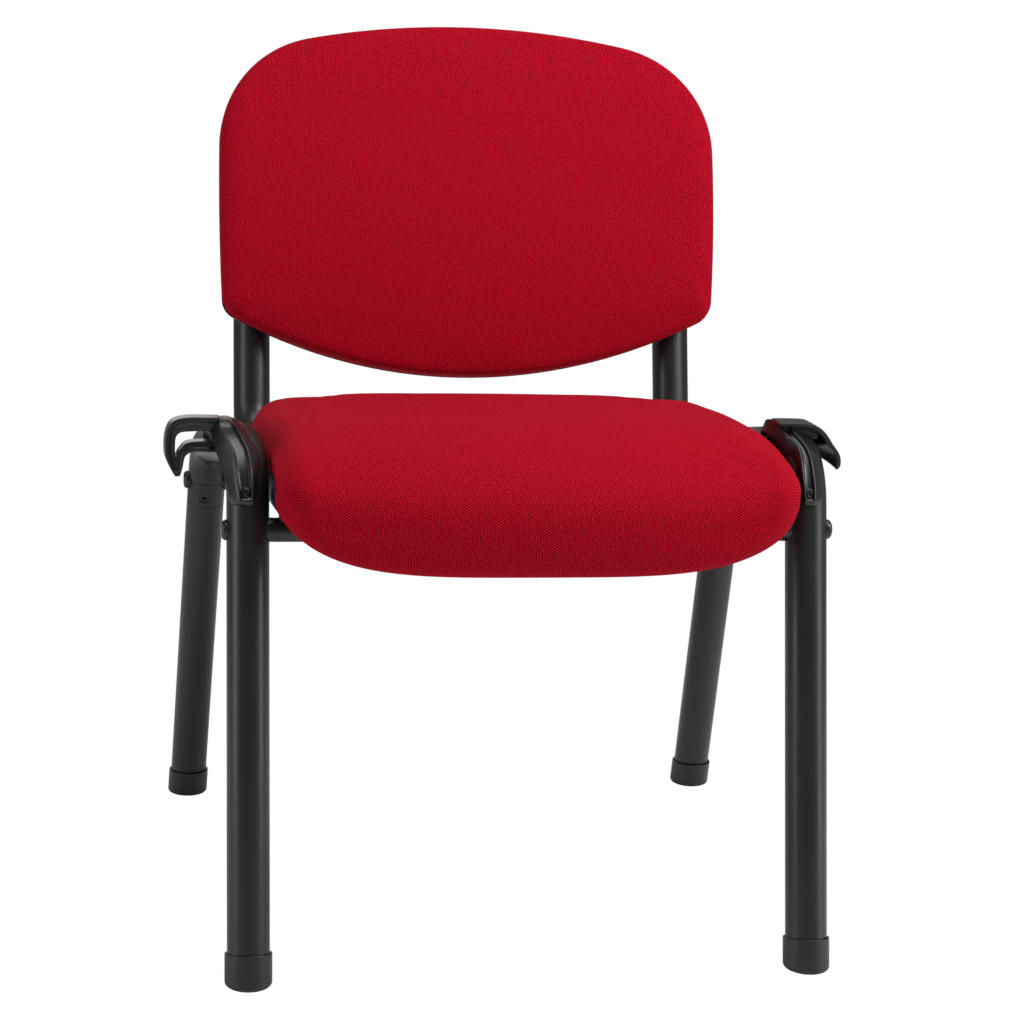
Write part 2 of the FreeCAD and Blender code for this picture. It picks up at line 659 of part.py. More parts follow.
def back_face():
    """Everything behind the crowned front face."""
    front = shell_axis() + BACK_WRAP - BACK_THICK
    half = BACK_HEIGHT / 2 + BACK_THICK
    edge = front + BACK_FACE_CROWN - math.sqrt(BACK_FACE_CROWN ** 2 - half ** 2)
    behind = front + BACK_ROOM

    def at(y, rise):
        return Vector(0, y, BACK_HEIGHT / 2 + rise)

    crown = Part.Arc(at(edge, -half), at(front, 0), at(edge, half)).toShape()
    rest = chain([at(edge, half), at(behind, half), at(behind, -half), at(edge, -half)])
    face = Part.Face(Part.Wire([crown] + rest))
    axis = Vector(0, front - BACK_FACE_WRAP, 0)
    turn = math.degrees(BACK_WIDTH * 2 / BACK_FACE_WRAP)
    face.rotate(axis, Vector(0, 0, 1), -turn / 2)
    return face.revolve(axis, Vector(0, 0, 1), turn)


def back_cushion():
    rear = BACK_WRAP - SHELL_THICK - SEAT_GAP
    solid = back_outline(0.0).common(wrapped(rear)).common(back_face())
    broad = [f for f in solid.Faces if f.Area > BACK_HEIGHT * BACK_HEIGHT / 2]
    face = min(broad, key=lambda f: f.CenterOfMass.y)
    solid = solid.makeFillet(BACK_EDGE, face.Edges)
    pocket = back_outline(BOARD_INSET - SEAT_GAP).cut(wrapped(rear - BOARD_THICK))
    return placed(solid.cut(pocket), BACK)


def back_board():
    solid = back_outline(BOARD_INSET).common(wrapped(BACK_WRAP - SHELL_THICK))
    solid = placed(solid.cut(wrapped(BACK_WRAP - SHELL_THICK - BOARD_THICK)), BACK)
    holes = [back_rod(INSERT_OD / 2, z, -BACK_ROOM, 0) for z in back_screw_places()]
    return solid.cut(holes + [mirrored(hole) for hole in holes])


def back_shell():
    solid = back_outline(0.0).common(wrapped(BACK_WRAP)).cut(wrapped(BACK_WRAP - SHELL_THICK))
    holes = [back_rod(SCREW_OD / 2 + SCREW_CLEARANCE, z, -BACK_ROOM, 0) for z in back_screw_places()]
    return placed(solid, BACK).cut(holes + [mirrored(hole) for hole in holes])


def back_screw_places():
    return [BACK_SCREW_LOW, BACK_SCREW_HIGH]


def back_rod(radius, rise, front, rear):
    """Rod square to the back's plane through the upright's axis, its ends measured from that axis."""
    x = BACK_UPRIGHT_SPAN / 2
    return placed(rod(radius, Vector(x, front, rise), Vector(x, rear, rise)), BACK)


def back_spacer(rise):
    solid = back_rod(SPACER_OD / 2, rise, -BACK_ROOM, 0)
    solid = solid.cut([placed(wrapped(BACK_WRAP), BACK), back_solid(TUBE_R)])
    return solid.cut(back_rod(SCREW_OD / 2 + SCREW_CLEARANCE, rise, -BACK_ROOM, 0))


def board_layer():
    layer = wrapped(BACK_WRAP - SHELL_THICK).cut(wrapped(BACK_WRAP - SHELL_THICK - BOARD_THICK))
    return placed(layer, BACK)


def back_insert(rise):
    solid = back_rod(INSERT_OD / 2, rise, -BACK_ROOM, 0).common(board_layer())
    return solid.cut(back_rod(SCREW_OD / 2 + SLIP, rise, -BACK_ROOM, 0))


def back_screw(rise):
    head = back_rod(SCREW_HEAD_OD / 2, rise, -TUBE_R, -BORE_R + SCREW_HEAD).common(back_solid(BORE_R))
    tip = -TUBE_R - SPACER_LENGTH - SHELL_THICK - BOARD_THICK / 2
    shank = back_rod(SCREW_OD / 2, rise, tip, -BORE_R + SCREW_HEAD / 2)
    return head.fuse(shank).removeSplitter()


def bend_centre():
    half = math.radians(90 - FRONT_LEAN + RAIL_FALL) / 2
    begin = FRONT_CORNER - FRONT_UP * (FRONT_BEND_RADIUS * math.tan(half))
    return begin + FRONT_UP.cross(ACROSS) * FRONT_BEND_RADIUS


def bend_point(turn, outward, over):
    """Point over the bend: the turn of its radius, its place outward, and its height over the tube axis."""
    return bend_centre() + heading(turn) * (FRONT_BEND_RADIUS + over) + ACROSS * outward


LINK_LOW_TURN = 180 - FRONT_LEAN - LINK_START
LINK_HIGH_TURN = 90 - RAIL_FALL + LINK_END


LOOP_TOP = [LINK_TOP_INNER, LINK_TOP_CHANNEL, LINK_TOP_RIDGE, LINK_TOP_OUTER]
HOOK_TOP = [-edge for edge in reversed(LOOP_TOP)]


def link_section(share, top_edges):
    """Cross-section of the saddle, its share of the way up from the lower end."""
    def between(low, high):
        return low + (high - low) * share

    turn = between(LINK_LOW_TURN, LINK_HIGH_TURN)
    low_edges = [LINK_LOW_INNER, LINK_LOW_CHANNEL, LINK_LOW_RIDGE, LINK_LOW_OUTER]
    inner, channel, ridge, outer = [between(low, high) for low, high in zip(low_edges, top_edges)]
    top = TUBE_R + LINK_LIFT
    foot = top - LINK_LIFT * 2
    floor = top - LINK_CHANNEL
    outline = [
        (inner, -LINK_SKIRT), (inner, foot), (channel - LINK_RIM, top), (channel, top),
        (channel, floor), (ridge - LINK_RIM, floor), (ridge - LINK_RIM, top), (ridge, top),
        (outer, foot), (outer, -LINK_SKIRT),
    ]
    return polygon([bend_point(turn, outward, over) for outward, over in outline])


def link_saddle(top_edges):
    shares = [i / (LINK_STATIONS - 1) for i in range(LINK_STATIONS)]
    return Part.makeLoft([link_section(share, top_edges) for share in shares], True, True)


def link_top():
    return bend_centre().z + FRONT_BEND_RADIUS + TUBE_R + LINK_LIFT


def link_plate(edges, depth):
    """Flat plate in front of the given rear face, from an outline drawn in the XZ plane."""
    rear = bend_centre().y + LINK_BACK
    plate = Part.Face(Part.Wire(edges)).extrude(Vector(0, -depth, 0))
    plate.translate(Vector(0, rear, 0))
    return plate


def chain(points):
    return [Part.makeLine(a, b) for a, b in zip(points, points[1:])]


def at_link(outward, drop):
    return Vector(outward, 0, link_top() - drop)


def corner_arc(start, end, centre):
    return quarter(centre, start - centre, end - centre)


def loop_outer():
    lower = LOOP_ARM + LOOP_WINDOW + LOOP_LOWER_ARM
    tip_inner = LOOP_REACH - LOOP_TIP_WIDTH - LOOP_TIP_ROUND / 2
    root_low = at_link(LINK_ROOT, lower)
    root_high = at_link(LINK_ROOT, 0)
    top_end = at_link(LOOP_REACH - LOOP_CORNER, 0)
    side = at_link(LOOP_REACH, LOOP_CORNER)
    side_low = at_link(LOOP_REACH, lower)
    tip_out = at_link(LOOP_REACH - LOOP_TIP_SLOPE, LOOP_DROP - LOOP_TIP_ROUND / 2)
    tip = at_link(LOOP_REACH - LOOP_TIP_POINT, LOOP_DROP)
    tip_in = at_link(tip_inner, LOOP_DROP - LOOP_TIP_ROUND)
    curl_low = at_link(tip_inner, lower + LOOP_CURL / 2)
    curl_high = at_link(tip_inner - LOOP_CURL / 2, lower)
    edges = chain([root_low, root_high, top_end])
    edges.append(corner_arc(top_end, side, at_link(LOOP_REACH - LOOP_CORNER, LOOP_CORNER)))
    edges += chain([side, side_low, tip_out, tip, tip_in, curl_low])
    edges.append(corner_arc(curl_low, curl_high, at_link(tip_inner - LOOP_CURL / 2, lower + LOOP_CURL / 2)))
    return edges + chain([curl_high, root_low])


def loop_window():
    """The opening that takes the neighbour's hook, deeper at its outer end."""
    inner = LINK_TOP_OUTER + LINK_LIFT / 2
    outer = LOOP_REACH - LOOP_WALL
    low = LOOP_ARM + LOOP_WINDOW
    end_low = at_link(outer, low + LOOP_LOWER_ARM)
    slope = at_link(outer - LOOP_CURL, low)
    inner_side = [at_link(inner, low), at_link(inner, LOOP_ARM)]
    edges = chain([slope] + inner_side + [at_link(outer, LOOP_ARM), end_low])
    edges.append(corner_arc(end_low, slope, at_link(outer - LOOP_CURL, low + LOOP_LOWER_ARM)))
    return edges


def hook_plate():
    """Arm that curves outward and down to a blunt tip."""
    straight = at_link(HOOK_REACH - HOOK_CORNER, 0)
    down = at_link(HOOK_REACH, HOOK_CORNER_DROP)
    tip = at_link(HOOK_REACH, HOOK_DROP)
    tip_in = at_link(HOOK_REACH - HOOK_RIM, HOOK_DROP)
    down_in = at_link(HOOK_REACH - HOOK_RIM, HOOK_CORNER_DROP)
    under = at_link(HOOK_REACH - HOOK_CORNER, HOOK_RIM)
    centre = at_link(HOOK_REACH - HOOK_CORNER, HOOK_CORNER_DROP)
    root = at_link(HOOK_ROOT, HOOK_RIM)
    edges = chain([root, at_link(HOOK_ROOT, 0), straight])
    edges.append(corner_arc(straight, down, centre))
    edges += chain([down, tip, tip_in, down_in])
    edges.append(corner_arc(down_in, under, centre))
    return edges + chain([under, root])


def link_rod(radius, low, high):
    """Rod square to the tube at the saddle's screw, its ends measured from the tube axis."""
    turn = LINK_LOW_TURN - LINK_SCREW_TURN
    start = bend_point(turn, LINK_SCREW_OUT, low)
    return placed(rod(radius, start, bend_point(turn, LINK_SCREW_OUT, high)), SIDE)


def link_screw_hole():
    return link_rod(LINK_SCREW_OD / 2 + SLIP, 0, TUBE_OD)


def link_screw():
    floor = TUBE_R + LINK_LIFT - LINK_CHANNEL
    head = link_rod(LINK_SCREW_HEAD_OD / 2, floor, floor + LINK_SCREW_HEAD)
    shank = link_rod(LINK_SCREW_OD / 2, BORE_R - LINK_SCREW_OD, floor + LINK_SCREW_HEAD / 2)
    return head.fuse(shank).removeSplitter()


def finish_link(solid):
    solid = placed(solid.removeSplitter(), SIDE).cut(side_solid(TUBE_R + LINK_GAP))
    return max(solid.cut(link_screw_hole()).Solids, key=lambda s: s.Volume)


def link_loop():
    plate = link_plate(loop_outer(), LINK_DEPTH).cut(link_plate(loop_window(), LINK_DEPTH))
    return finish_link(link_saddle(LOOP_TOP).fuse(plate))


def link_hook():
    root = at_link(LINK_ROOT, HOOK_RIM)
    end = [at_link(HOOK_RIB_END, HOOK_RIM), at_link(HOOK_RIB_END, HOOK_RIB)]
    rib = link_plate(chain([root] + end + [at_link(LINK_ROOT, HOOK_RIB), root]), HOOK_RIB_DEPTH)
    plate = link_plate(hook_plate(), HOOK_DEPTH)
    return finish_link(link_saddle(HOOK_TOP).fuse([plate, rib]))


def save(node, shape):
    shape.exportStep(os.path.join("parts", node + ".step"))


def save_pair(node, shape):
    save(node + "_right", shape)
    save(node + "_left", mirrored(shape))


save_pair("side_tube", side_tube())
save_pair("rear_leg", rear_leg())
save_pair("leg_coupling", leg_coupling())
save("leg_coupling_screws", both_sides([pad_screw()]))
save_pair("front_foot_cap", foot_cap(FRONT_FOOT, FRONT_UP, False))
save_pair("rear_foot_cap", foot_cap(REAR_FOOT, STUB_UP, True))
save("front_crossbar", crossbar(FRONT_BAR))
save("rear_crossbar", crossbar(REAR_BAR))
save("crossbar_inserts", both_sides([bar_insert(FRONT_BAR), bar_insert(REAR_BAR)]))
save("crossbar_bolts", both_sides([bar_bolt(FRONT_BAR), bar_bolt(REAR_BAR)]))
save_pair("back_tube", back_tube())
save("back_tube_front_plugs", both_sides([front_plug()]))
save("back_tube_top_plugs", both_sides([top_plug()]))
save("seat_pan", seat_pan())
save("seat_cushion", seat_cushion())
save("seat_tee_nuts", both_sides([seat_nut(y) for y in seat_screw_places()]))
save("seat_screws", both_sides([seat_screw(y) for y in seat_screw_places()]))
save("back_board", back_board())
save("back_cushion", back_cushion())
save("back_shell", back_shell())
save("back_spacers", both_sides([back_spacer(z) for z in back_screw_places()]))
save("back_inserts", both_sides([back_insert(z) for z in back_screw_places()]))
save("back_screws", both_sides([back_screw(z) for z in back_screw_places()]))
save("link_loop_left", mirrored(link_loop()))
save("link_hook_right", link_hook())
save("link_screws", both_sides([link_screw()]))
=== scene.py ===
import json
import math

import bmesh
import bpy
import numpy as np
from mathutils import Matrix, Vector


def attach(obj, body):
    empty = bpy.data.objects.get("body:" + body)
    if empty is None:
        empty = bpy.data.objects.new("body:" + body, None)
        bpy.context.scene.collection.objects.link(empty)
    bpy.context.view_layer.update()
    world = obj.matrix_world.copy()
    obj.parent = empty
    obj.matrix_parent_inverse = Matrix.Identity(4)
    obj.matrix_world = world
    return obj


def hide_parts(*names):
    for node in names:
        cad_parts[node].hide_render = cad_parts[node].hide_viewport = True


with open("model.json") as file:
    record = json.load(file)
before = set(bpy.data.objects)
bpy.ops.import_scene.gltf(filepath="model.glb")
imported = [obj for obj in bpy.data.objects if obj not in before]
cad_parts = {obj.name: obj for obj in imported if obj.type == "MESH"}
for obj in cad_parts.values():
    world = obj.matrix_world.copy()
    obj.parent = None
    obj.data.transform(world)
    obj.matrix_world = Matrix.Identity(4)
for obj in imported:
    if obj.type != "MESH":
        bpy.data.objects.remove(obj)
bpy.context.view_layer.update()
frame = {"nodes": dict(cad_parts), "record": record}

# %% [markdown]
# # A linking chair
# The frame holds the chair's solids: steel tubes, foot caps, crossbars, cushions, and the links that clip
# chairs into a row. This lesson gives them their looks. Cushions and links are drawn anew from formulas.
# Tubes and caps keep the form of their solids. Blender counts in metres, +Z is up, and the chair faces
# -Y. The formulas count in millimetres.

NODES = frame["nodes"]
MM = 1000


# %% [markdown]
# ## Colours and shader nodes
# A finish is a small net of shader nodes. It could be wired by hand in the editor, but one function that
# adds a node, sets its values and links its inputs keeps a whole finish readable in a few lines.
# Colours are written as a screen shows them, and turned to linear light in one place.

# %% Colour and node helpers
def linear(colour):
    """Linear RGBA of a screen colour: ((c + 0.055) / 1.055) to the power 2.4, or c / 12.92 when dark."""
    parts = [int(colour[i:i + 2], 16) / 255 for i in (1, 3, 5)]
    light = [c / 12.92 if c <= 0.04045 else ((c + 0.055) / 1.055) ** 2.4 for c in parts]
    return (*light, 1.0)


def new_material(name):
    """A material without nodes, and its tree."""
    material = bpy.data.materials.new(name)
    material.use_nodes = True
    material.node_tree.nodes.clear()
    return material, material.node_tree


def add(tree, kind, settings=None, stops=(), out=0, **inputs):
    """One output of a new node; inputs are sockets by name or number (in0), stops a ramp's colours."""
    node = tree.nodes.new("ShaderNode" + kind)
    for name, value in (settings or {}).items():
        setattr(node, name, value)
    for name, value in inputs.items():
        numbered = name.startswith("in") and name[2:].isdigit()
        socket = node.inputs[int(name[2:]) if numbered else name.replace("_", " ")]
        if isinstance(value, bpy.types.NodeSocket):
            tree.links.new(value, socket)
        else:
            socket.default_value = value
    marks = node.color_ramp.elements if stops else []
    while len(marks) < len(stops):
        marks.new(0.5)
    for mark, (place, colour) in zip(marks, stops):
        mark.position = place
        mark.color = linear(colour)
    return node.outputs[out] if node.outputs else None


print("screen grey #808080 in linear light:", round(linear("#808080")[0], 3))

# %% [markdown]
# ## Powder-coated steel
# The tubes are sprayed with black powder and baked. The skin is satin, with a fine orange peel that breaks
# the edges of a highlight, and its gloss wanders a little. One flat colour would look drawn, and a picture
# of paint would show seams on the bends. Noise on Object coordinates has no seams.

# %% Paint
NOISE_LOW, NOISE_HIGH = 0.3, 0.7
PAINT = {"patch": 71.43, "dark": 0.88, "dull": 0.04, "grain": 1.1111, "height": 0.12}


def satin_black(name, colour, rough, depth, finish):
    """Tint from dark x colour to colour, and gloss, drift over patches under a fine grain; sizes in mm."""
    material, tree = new_material(name)
    place = add(tree, "TexCoord", out="Object")
    patch = add(tree, "TexNoise", Vector=place, Scale=MM / finish["patch"], Detail=3.0)
    share = add(tree, "MapRange", in0=patch, in1=NOISE_LOW, in2=NOISE_HIGH, in3=0.0, in4=1.0)
    base = linear(colour)
    deep = (*(c * finish["dark"] for c in base[:3]), 1.0)
    tint = add(tree, "Mix", {"data_type": "RGBA"}, out=2, in0=share, in6=deep, in7=base)
    gloss = add(tree, "MapRange", in0=share, in3=rough - 0.03, in4=rough + finish["dull"])
    grain = add(tree, "TexNoise", Vector=place, Scale=MM / finish["grain"], Detail=2.0)
    relief = add(tree, "Bump", Height=grain, Distance=finish["height"] / MM, Strength=depth)
    skin = add(tree, "BsdfPrincipled", Base_Color=tint, Roughness=gloss, Normal=relief)
    add(tree, "OutputMaterial", Surface=skin)
    return material


STEEL = satin_black("black_powder_coated_steel", "#151414", 0.36, 0.35, PAINT)
BLACK_BOLT = satin_black("black_plated_steel", "#161617", 0.28, 0.35, PAINT)
print("orange peel of", PAINT["grain"], "mm on", STEEL.name)

# %% [markdown]
# ## Moulded plastic
# Foot caps and links are moulded from black plastic. The mould's steel is spark-eroded, and its grain of
# about half a millimetre shows on the part. The net of nodes is the paint's, with other sizes. The links
# are a little glossier than the caps.

# %% Plastic
MOULDED = {"patch": 45.455, "dark": 0.85, "dull": 0.05, "grain": 0.58824, "height": 0.1}
CAP_PLASTIC = satin_black("black_satin_plastic", "#151414", 0.4, 0.3, MOULDED)
LINK_PLASTIC = satin_black("black_moulded_plastic", "#181717", 0.3, 0.2, MOULDED)
print("eroded grain of", MOULDED["grain"], "mm on", CAP_PLASTIC.name, "and", LINK_PLASTIC.name)

# %% [markdown]
# ## Zinc plate
# Hidden screws and nuts are plated with bright zinc. It is a metal, so its colour is in its reflection,
# and the plating's faint warm bloom varies over a few millimetres.

# %% Zinc
BLOOM = 6.25


def zinc_plate(name):
    """A metal whose tint and roughness follow one noise."""
    material, tree = new_material(name)
    place = add(tree, "TexCoord", out="Object")
    bloom = add(tree, "TexNoise", Vector=place, Scale=MM / BLOOM, Detail=3.0)
    tint = add(tree, "ValToRGB", stops=((NOISE_LOW, "#9a9c9e"), (NOISE_HIGH, "#c3c2bb")), in0=bloom)
    gloss = add(tree, "MapRange", in0=bloom, in1=NOISE_LOW, in2=NOISE_HIGH, in3=0.28, in4=0.42)
    zinc = add(tree, "BsdfPrincipled", Base_Color=tint, Metallic=1.0, Roughness=gloss)
    add(tree, "OutputMaterial", Surface=zinc)
    return material


ZINC = zinc_plate("zinc_plated_steel")
print("bloom of", BLOOM, "mm on", ZINC.name)

# %% [markdown]
# ## Plywood
# The seat pan and the back board are bent beech plywood. Its grain is a noise that is stretched along X:
# a Mapping node squeezes the coordinates less that way, which is simpler than drawing single fibres.

# %% Wood
BAND_LENGTH, BAND_WIDTH, BAND_HEIGHT = 104.167, 3.90625, 0.2


def plywood(name):
    """Growth bands: one noise, long along X and narrow across, for tint and relief."""
    material, tree = new_material(name)
    stretch = (MM / BAND_LENGTH, MM / BAND_WIDTH, MM / BAND_WIDTH)
    place = add(tree, "Mapping", Vector=add(tree, "TexCoord", out="Object"), Scale=stretch)
    bands = add(tree, "TexNoise", Vector=place, Scale=1.0, Detail=4.0)
    tint = add(tree, "ValToRGB", stops=((0.3, "#a9804f"), (0.55, "#c39a68"), (0.75, "#d0ab7d")), in0=bands)
    relief = add(tree, "Bump", Height=bands, Distance=BAND_HEIGHT / MM, Strength=0.3)
    wood = add(tree, "BsdfPrincipled", Base_Color=tint, Roughness=0.6, Normal=relief)
    add(tree, "OutputMaterial", Surface=wood)
    return material


PLYWOOD = plywood("beech_plywood")
print("bands of", BAND_WIDTH, "x", BAND_LENGTH, "mm on", PLYWOOD.name)

# %% [markdown]
# ## Woven cloth
# The cushions wear a red hopsack cloth: small pebbles in rows, dull, with a faint sheen. Modelling each
# thread would take millions of faces. Three cosine waves, 60 degrees apart, add up to a field of round
# bumps, and a slow noise pushes their places about, as in cloth that is stretched by hand. The bumps give
# the relief and also a painted shade: the red is darker between the pebbles and lighter on their tops. The
# pattern reads the attribute `weave`, two distances along the cloth, so it follows the form of each cushion.

# %% Cloth
PEBBLE, PEBBLE_HEIGHT = 2.25, 0.6
WAVES = ((55, 1.25), (115, 0.9), (175, 0.85))
WAVES_LOW, WAVES_HIGH = -1.5, 3.0
PUSH, PUSH_SIZE = 5.5, 26.3158
FIBRE, FIBRE_TONE = 2.38095, 0.14


def woven_cloth(name):
    """Pebbles: the weighted sum of cos(2 pi x distance / row spacing) along the headings of WAVES; relief and
    painted shade.
    """
    material, tree = new_material(name)
    weave = add(tree, "Attribute", {"attribute_name": "weave"}, out="Vector")
    slow = add(tree, "TexNoise", out="Color", Vector=weave, Scale=MM / PUSH_SIZE, Detail=1.0)
    push = add(tree, "VectorMath", {"operation": "SCALE"}, Vector=slow, Scale=PUSH / MM)
    place = add(tree, "VectorMath", {"operation": "ADD"}, in0=weave, in1=push)
    turns = 2 * math.pi * MM / (PEBBLE * math.sqrt(3) / 2)
    total = 0.0
    for degrees, weight in WAVES:
        angle = math.radians(degrees)
        heading = (math.cos(angle) * turns, math.sin(angle) * turns, 0)
        phase = add(tree, "VectorMath", {"operation": "DOT_PRODUCT"}, out="Value", in0=place, in1=heading)
        wave = add(tree, "Math", {"operation": "COSINE"}, in0=phase)
        total = add(tree, "Math", {"operation": "MULTIPLY_ADD"}, in0=wave, in1=weight, in2=total)
    pebble = add(tree, "MapRange", in0=total, in1=WAVES_LOW, in2=WAVES_HIGH, in3=0.0, in4=1.0)
    fibre = add(tree, "TexNoise", Vector=weave, Scale=MM / FIBRE, Detail=2.0)
    fleck = add(tree, "MapRange", in0=fibre, in1=0.25, in2=0.75, in3=-FIBRE_TONE, in4=FIBRE_TONE)
    # painted shade: the colour follows the pebble height, darker in the hollows between pebbles and lighter
    # on their tops; the fibre fleck is the yarn's own tone
    shade_and_fleck = add(tree, "Math", {"operation": "ADD"}, in0=pebble, in1=fleck)
    tint = add(tree, "ValToRGB", stops=((0.0, "#6c000a"), (0.4, "#a4041a"), (1.0, "#de1c3c")), in0=shade_and_fleck)
    relief = add(tree, "Bump", Height=pebble, Distance=PEBBLE_HEIGHT / MM, Strength=0.6)
    sheen = {"Sheen_Weight": 0.14, "Sheen_Roughness": 0.35, "Sheen_Tint": linear("#e8465a")}
    cloth = add(tree, "BsdfPrincipled", Base_Color=tint, Roughness=0.9, Specular_IOR_Level=0.05,
                Normal=relief, **sheen)
    add(tree, "OutputMaterial", Surface=cloth)
    return material


CLOTH = woven_cloth("red_hopsack_cloth")
print("pebbles of", PEBBLE, "mm on", CLOTH.name)

# %% [markdown]
# ## Finishes on the solids
# The record names a material slot for each node. A table from slot to finish dresses all solids at once,
# so a node that isn't drawn anew below still shows the right material.

# %% Dress the solids
LOOKS = {"frame_powder_coat": STEEL, "moulded_black_plastic": CAP_PLASTIC, "link_black_plastic": LINK_PLASTIC,
         "zinc_steel": ZINC, "black_steel": BLACK_BOLT, "red_fabric": CLOTH, "plywood": PLYWOOD}
for part in frame["record"]["subparts"]:
    mesh = NODES[part["node"]].data
    mesh.materials.clear()
    mesh.materials.append(LOOKS[part["material_slot"]])
print("finishes:", ", ".join(sorted(LOOKS)))


# %% [markdown]
# ## Grids and pieces
# A surface is an array of points on a grid, worked out as a whole, and its faces are the quads between
# neighbours. Modelling by hand is quicker at first, but a formula can be changed by a single number.

# %% Mesh helpers
def show(name, mesh, material, node):
    """Puts a mesh into the scene as a smooth piece that stands for one node of the frame."""
    mesh.materials.clear()
    mesh.materials.append(material)
    mesh.polygons.foreach_set("use_smooth", [True] * len(mesh.polygons))
    piece = bpy.data.objects.new(name, mesh)
    bpy.context.scene.collection.objects.link(piece)
    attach(piece, "root")
    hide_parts(node)
    print(name, "has", len(mesh.vertices), "points and", len(mesh.polygons), "faces")
    return piece


def make_piece(name, points, faces, material, node):
    """A piece from arrays of points and faces, with its normals turned outwards."""
    mesh = bpy.data.meshes.new(name)
    mesh.from_pydata(points.tolist(), [], faces)
    shell = bmesh.new()
    shell.from_mesh(mesh)
    bmesh.ops.recalc_face_normals(shell, faces=shell.faces)
    shell.to_mesh(mesh)
    shell.free()
    return show(name, mesh, material, node)


def subdivide(piece):
    """One level of subdivision, the same in the view and in the render."""
    rounder = piece.modifiers.new("smooth", "SUBSURF")
    rounder.levels = rounder.render_levels = 1


def grid_faces(rows, columns, start=0, closed=False):
    """Quads between neighbouring points of a grid that is stored row by row."""
    r = np.arange(rows - 1)[:, None]
    c = np.arange(columns if closed else columns - 1)[None, :]
    after = (c + 1) % columns
    quads = [r * columns + c, r * columns + after, (r + 1) * columns + after, (r + 1) * columns + c]
    return np.stack(quads, -1).reshape(-1, 4) + start


def capped_grid(grid):
    """Points and faces of a tube of closed rows with a cap at each end."""
    rows, columns = grid.shape[:2]
    faces = grid_faces(rows, columns, closed=True).tolist()
    faces += [list(range(columns)), list(range((rows - 1) * columns, rows * columns))]
    return grid.reshape(-1, 3), faces


print("a grid of 3 x 4 points has", len(grid_faces(3, 4)), "quads")


# %% [markdown]
# ## Lines
# Profiles are built from quarter ellipses and soft fades from 0 to 1. Their points are then spread evenly,
# so that the grid's quads stay close to square and the cloth bends evenly.

# %% Line helpers
def even_steps(points, count):
    """The same line with its points at even distances along it."""
    gaps = np.linalg.norm(np.diff(points, axis=0), axis=1)
    places = np.concatenate([[0], np.cumsum(gaps)])
    wanted = np.linspace(0, places[-1], count)
    return np.stack([np.interp(wanted, places, points[:, k]) for k in range(points.shape[1])], -1)


def quarter(centre, first, second, count=12):
    """Quarter ellipse: centre + first cos(t) + second sin(t), t from 0 to a right angle."""
    t = np.linspace(0, math.pi / 2, count)[:, None]
    return np.array(centre) + np.array(first) * np.cos(t) + np.array(second) * np.sin(t)


def fade(value, low, high):
    """0 below low, 1 above high, and 3t^2 - 2t^3 between."""
    t = np.clip((value - low) / (high - low), 0, 1)
    return t * t * (3 - 2 * t)


def round_drop(distance, radius):
    """How far a quarter circle has dropped at a distance past its start: r - sqrt(r^2 - d^2)."""
    over = np.clip(distance / radius, 0, 1)
    return radius * (1 - np.sqrt(1 - over * over))


def to_world(points, place, tilt):
    """Turned about X by the tilt, moved to its place, and from millimetres to metres."""
    turn = np.array(Matrix.Rotation(tilt, 3, "X"))
    return (points @ turn.T + place) / MM


print("a circle of radius 10 has dropped by", round_drop(8.0, 10.0), "after 8")

# %% [markdown]
# ## Foam under cloth
# A cushion bulges because foam presses its cover outwards. Sculpting that bulge is slow. A short cloth
# simulation gives it: air pressure inside, no gravity, and the hem pinned. A cap on the movement keeps the
# cushion close to its solid.

# %% Cloth simulation
FRAMES, PRESSURE, FILL = 20, 4.0, 0.8


def inflate(piece, held, cap):
    """Cloth under air pressure for 20 frames; a point moves by cap tanh(way / cap), times 1 - held."""
    mesh = piece.data
    count = len(mesh.vertices)
    before = np.empty(count * 3)
    mesh.vertices.foreach_get("co", before)
    before = before.reshape(-1, 3)
    pins = piece.vertex_groups.new(name="pins")
    pins.add(np.flatnonzero(held > 0.5).tolist(), 1.0, "REPLACE")
    cloth = piece.modifiers.new("cloth", "CLOTH")
    cloth.settings.vertex_group_mass = "pins"
    cloth.settings.use_pressure = True
    cloth.settings.uniform_pressure_force = PRESSURE
    cloth.settings.effector_weights.gravity = 0
    cloth.settings.quality = 5
    scene = bpy.context.scene
    for step in range(1, FRAMES + 1):
        scene.frame_set(step)
    shaped = piece.evaluated_get(bpy.context.evaluated_depsgraph_get()).data
    after = np.empty(count * 3)
    shaped.vertices.foreach_get("co", after)
    piece.modifiers.remove(cloth)
    piece.vertex_groups.remove(pins)
    scene.frame_set(1)
    way = after.reshape(-1, 3) - before
    length = np.linalg.norm(way, axis=1, keepdims=True)
    way *= cap * np.tanh(length / cap) / np.maximum(length, 1e-9) * (1 - held[:, None])
    mesh.vertices.foreach_set("co", (before + way).ravel())
    mesh.update()
    print(piece.name, "moved by up to", round(float(np.linalg.norm(way, axis=1).max()) * MM, 2), "mm")


def make_cushion(name, points, faces, weave, held, cap, node):
    """A cloth piece that keeps its pattern's place, is blown up a little and smoothed."""
    piece = make_piece(name, points, faces, CLOTH, node)
    store = piece.data.attributes.new("weave", "FLOAT_VECTOR", "POINT")
    store.data.foreach_set("vector", (weave / MM).astype(np.float32).ravel())
    inflate(piece, held, cap / MM)
    subdivide(piece)


print("cushions:", FRAMES, "frames at pressure", PRESSURE)

# %% [markdown]
# ## Seat cushion
# The seat is a foam pad on a bent pan, with a front edge that rolls down over the pan's lip. A box with
# bevels would end the roll in a crease. Here the side profile is a formula of x, so crown, corners and roll
# change smoothly. It runs from the rear over the top, down the front and back under, where the cloth is
# turned over the edge of the pan. x is across, y to the rear and z up from the tubes under the seat.

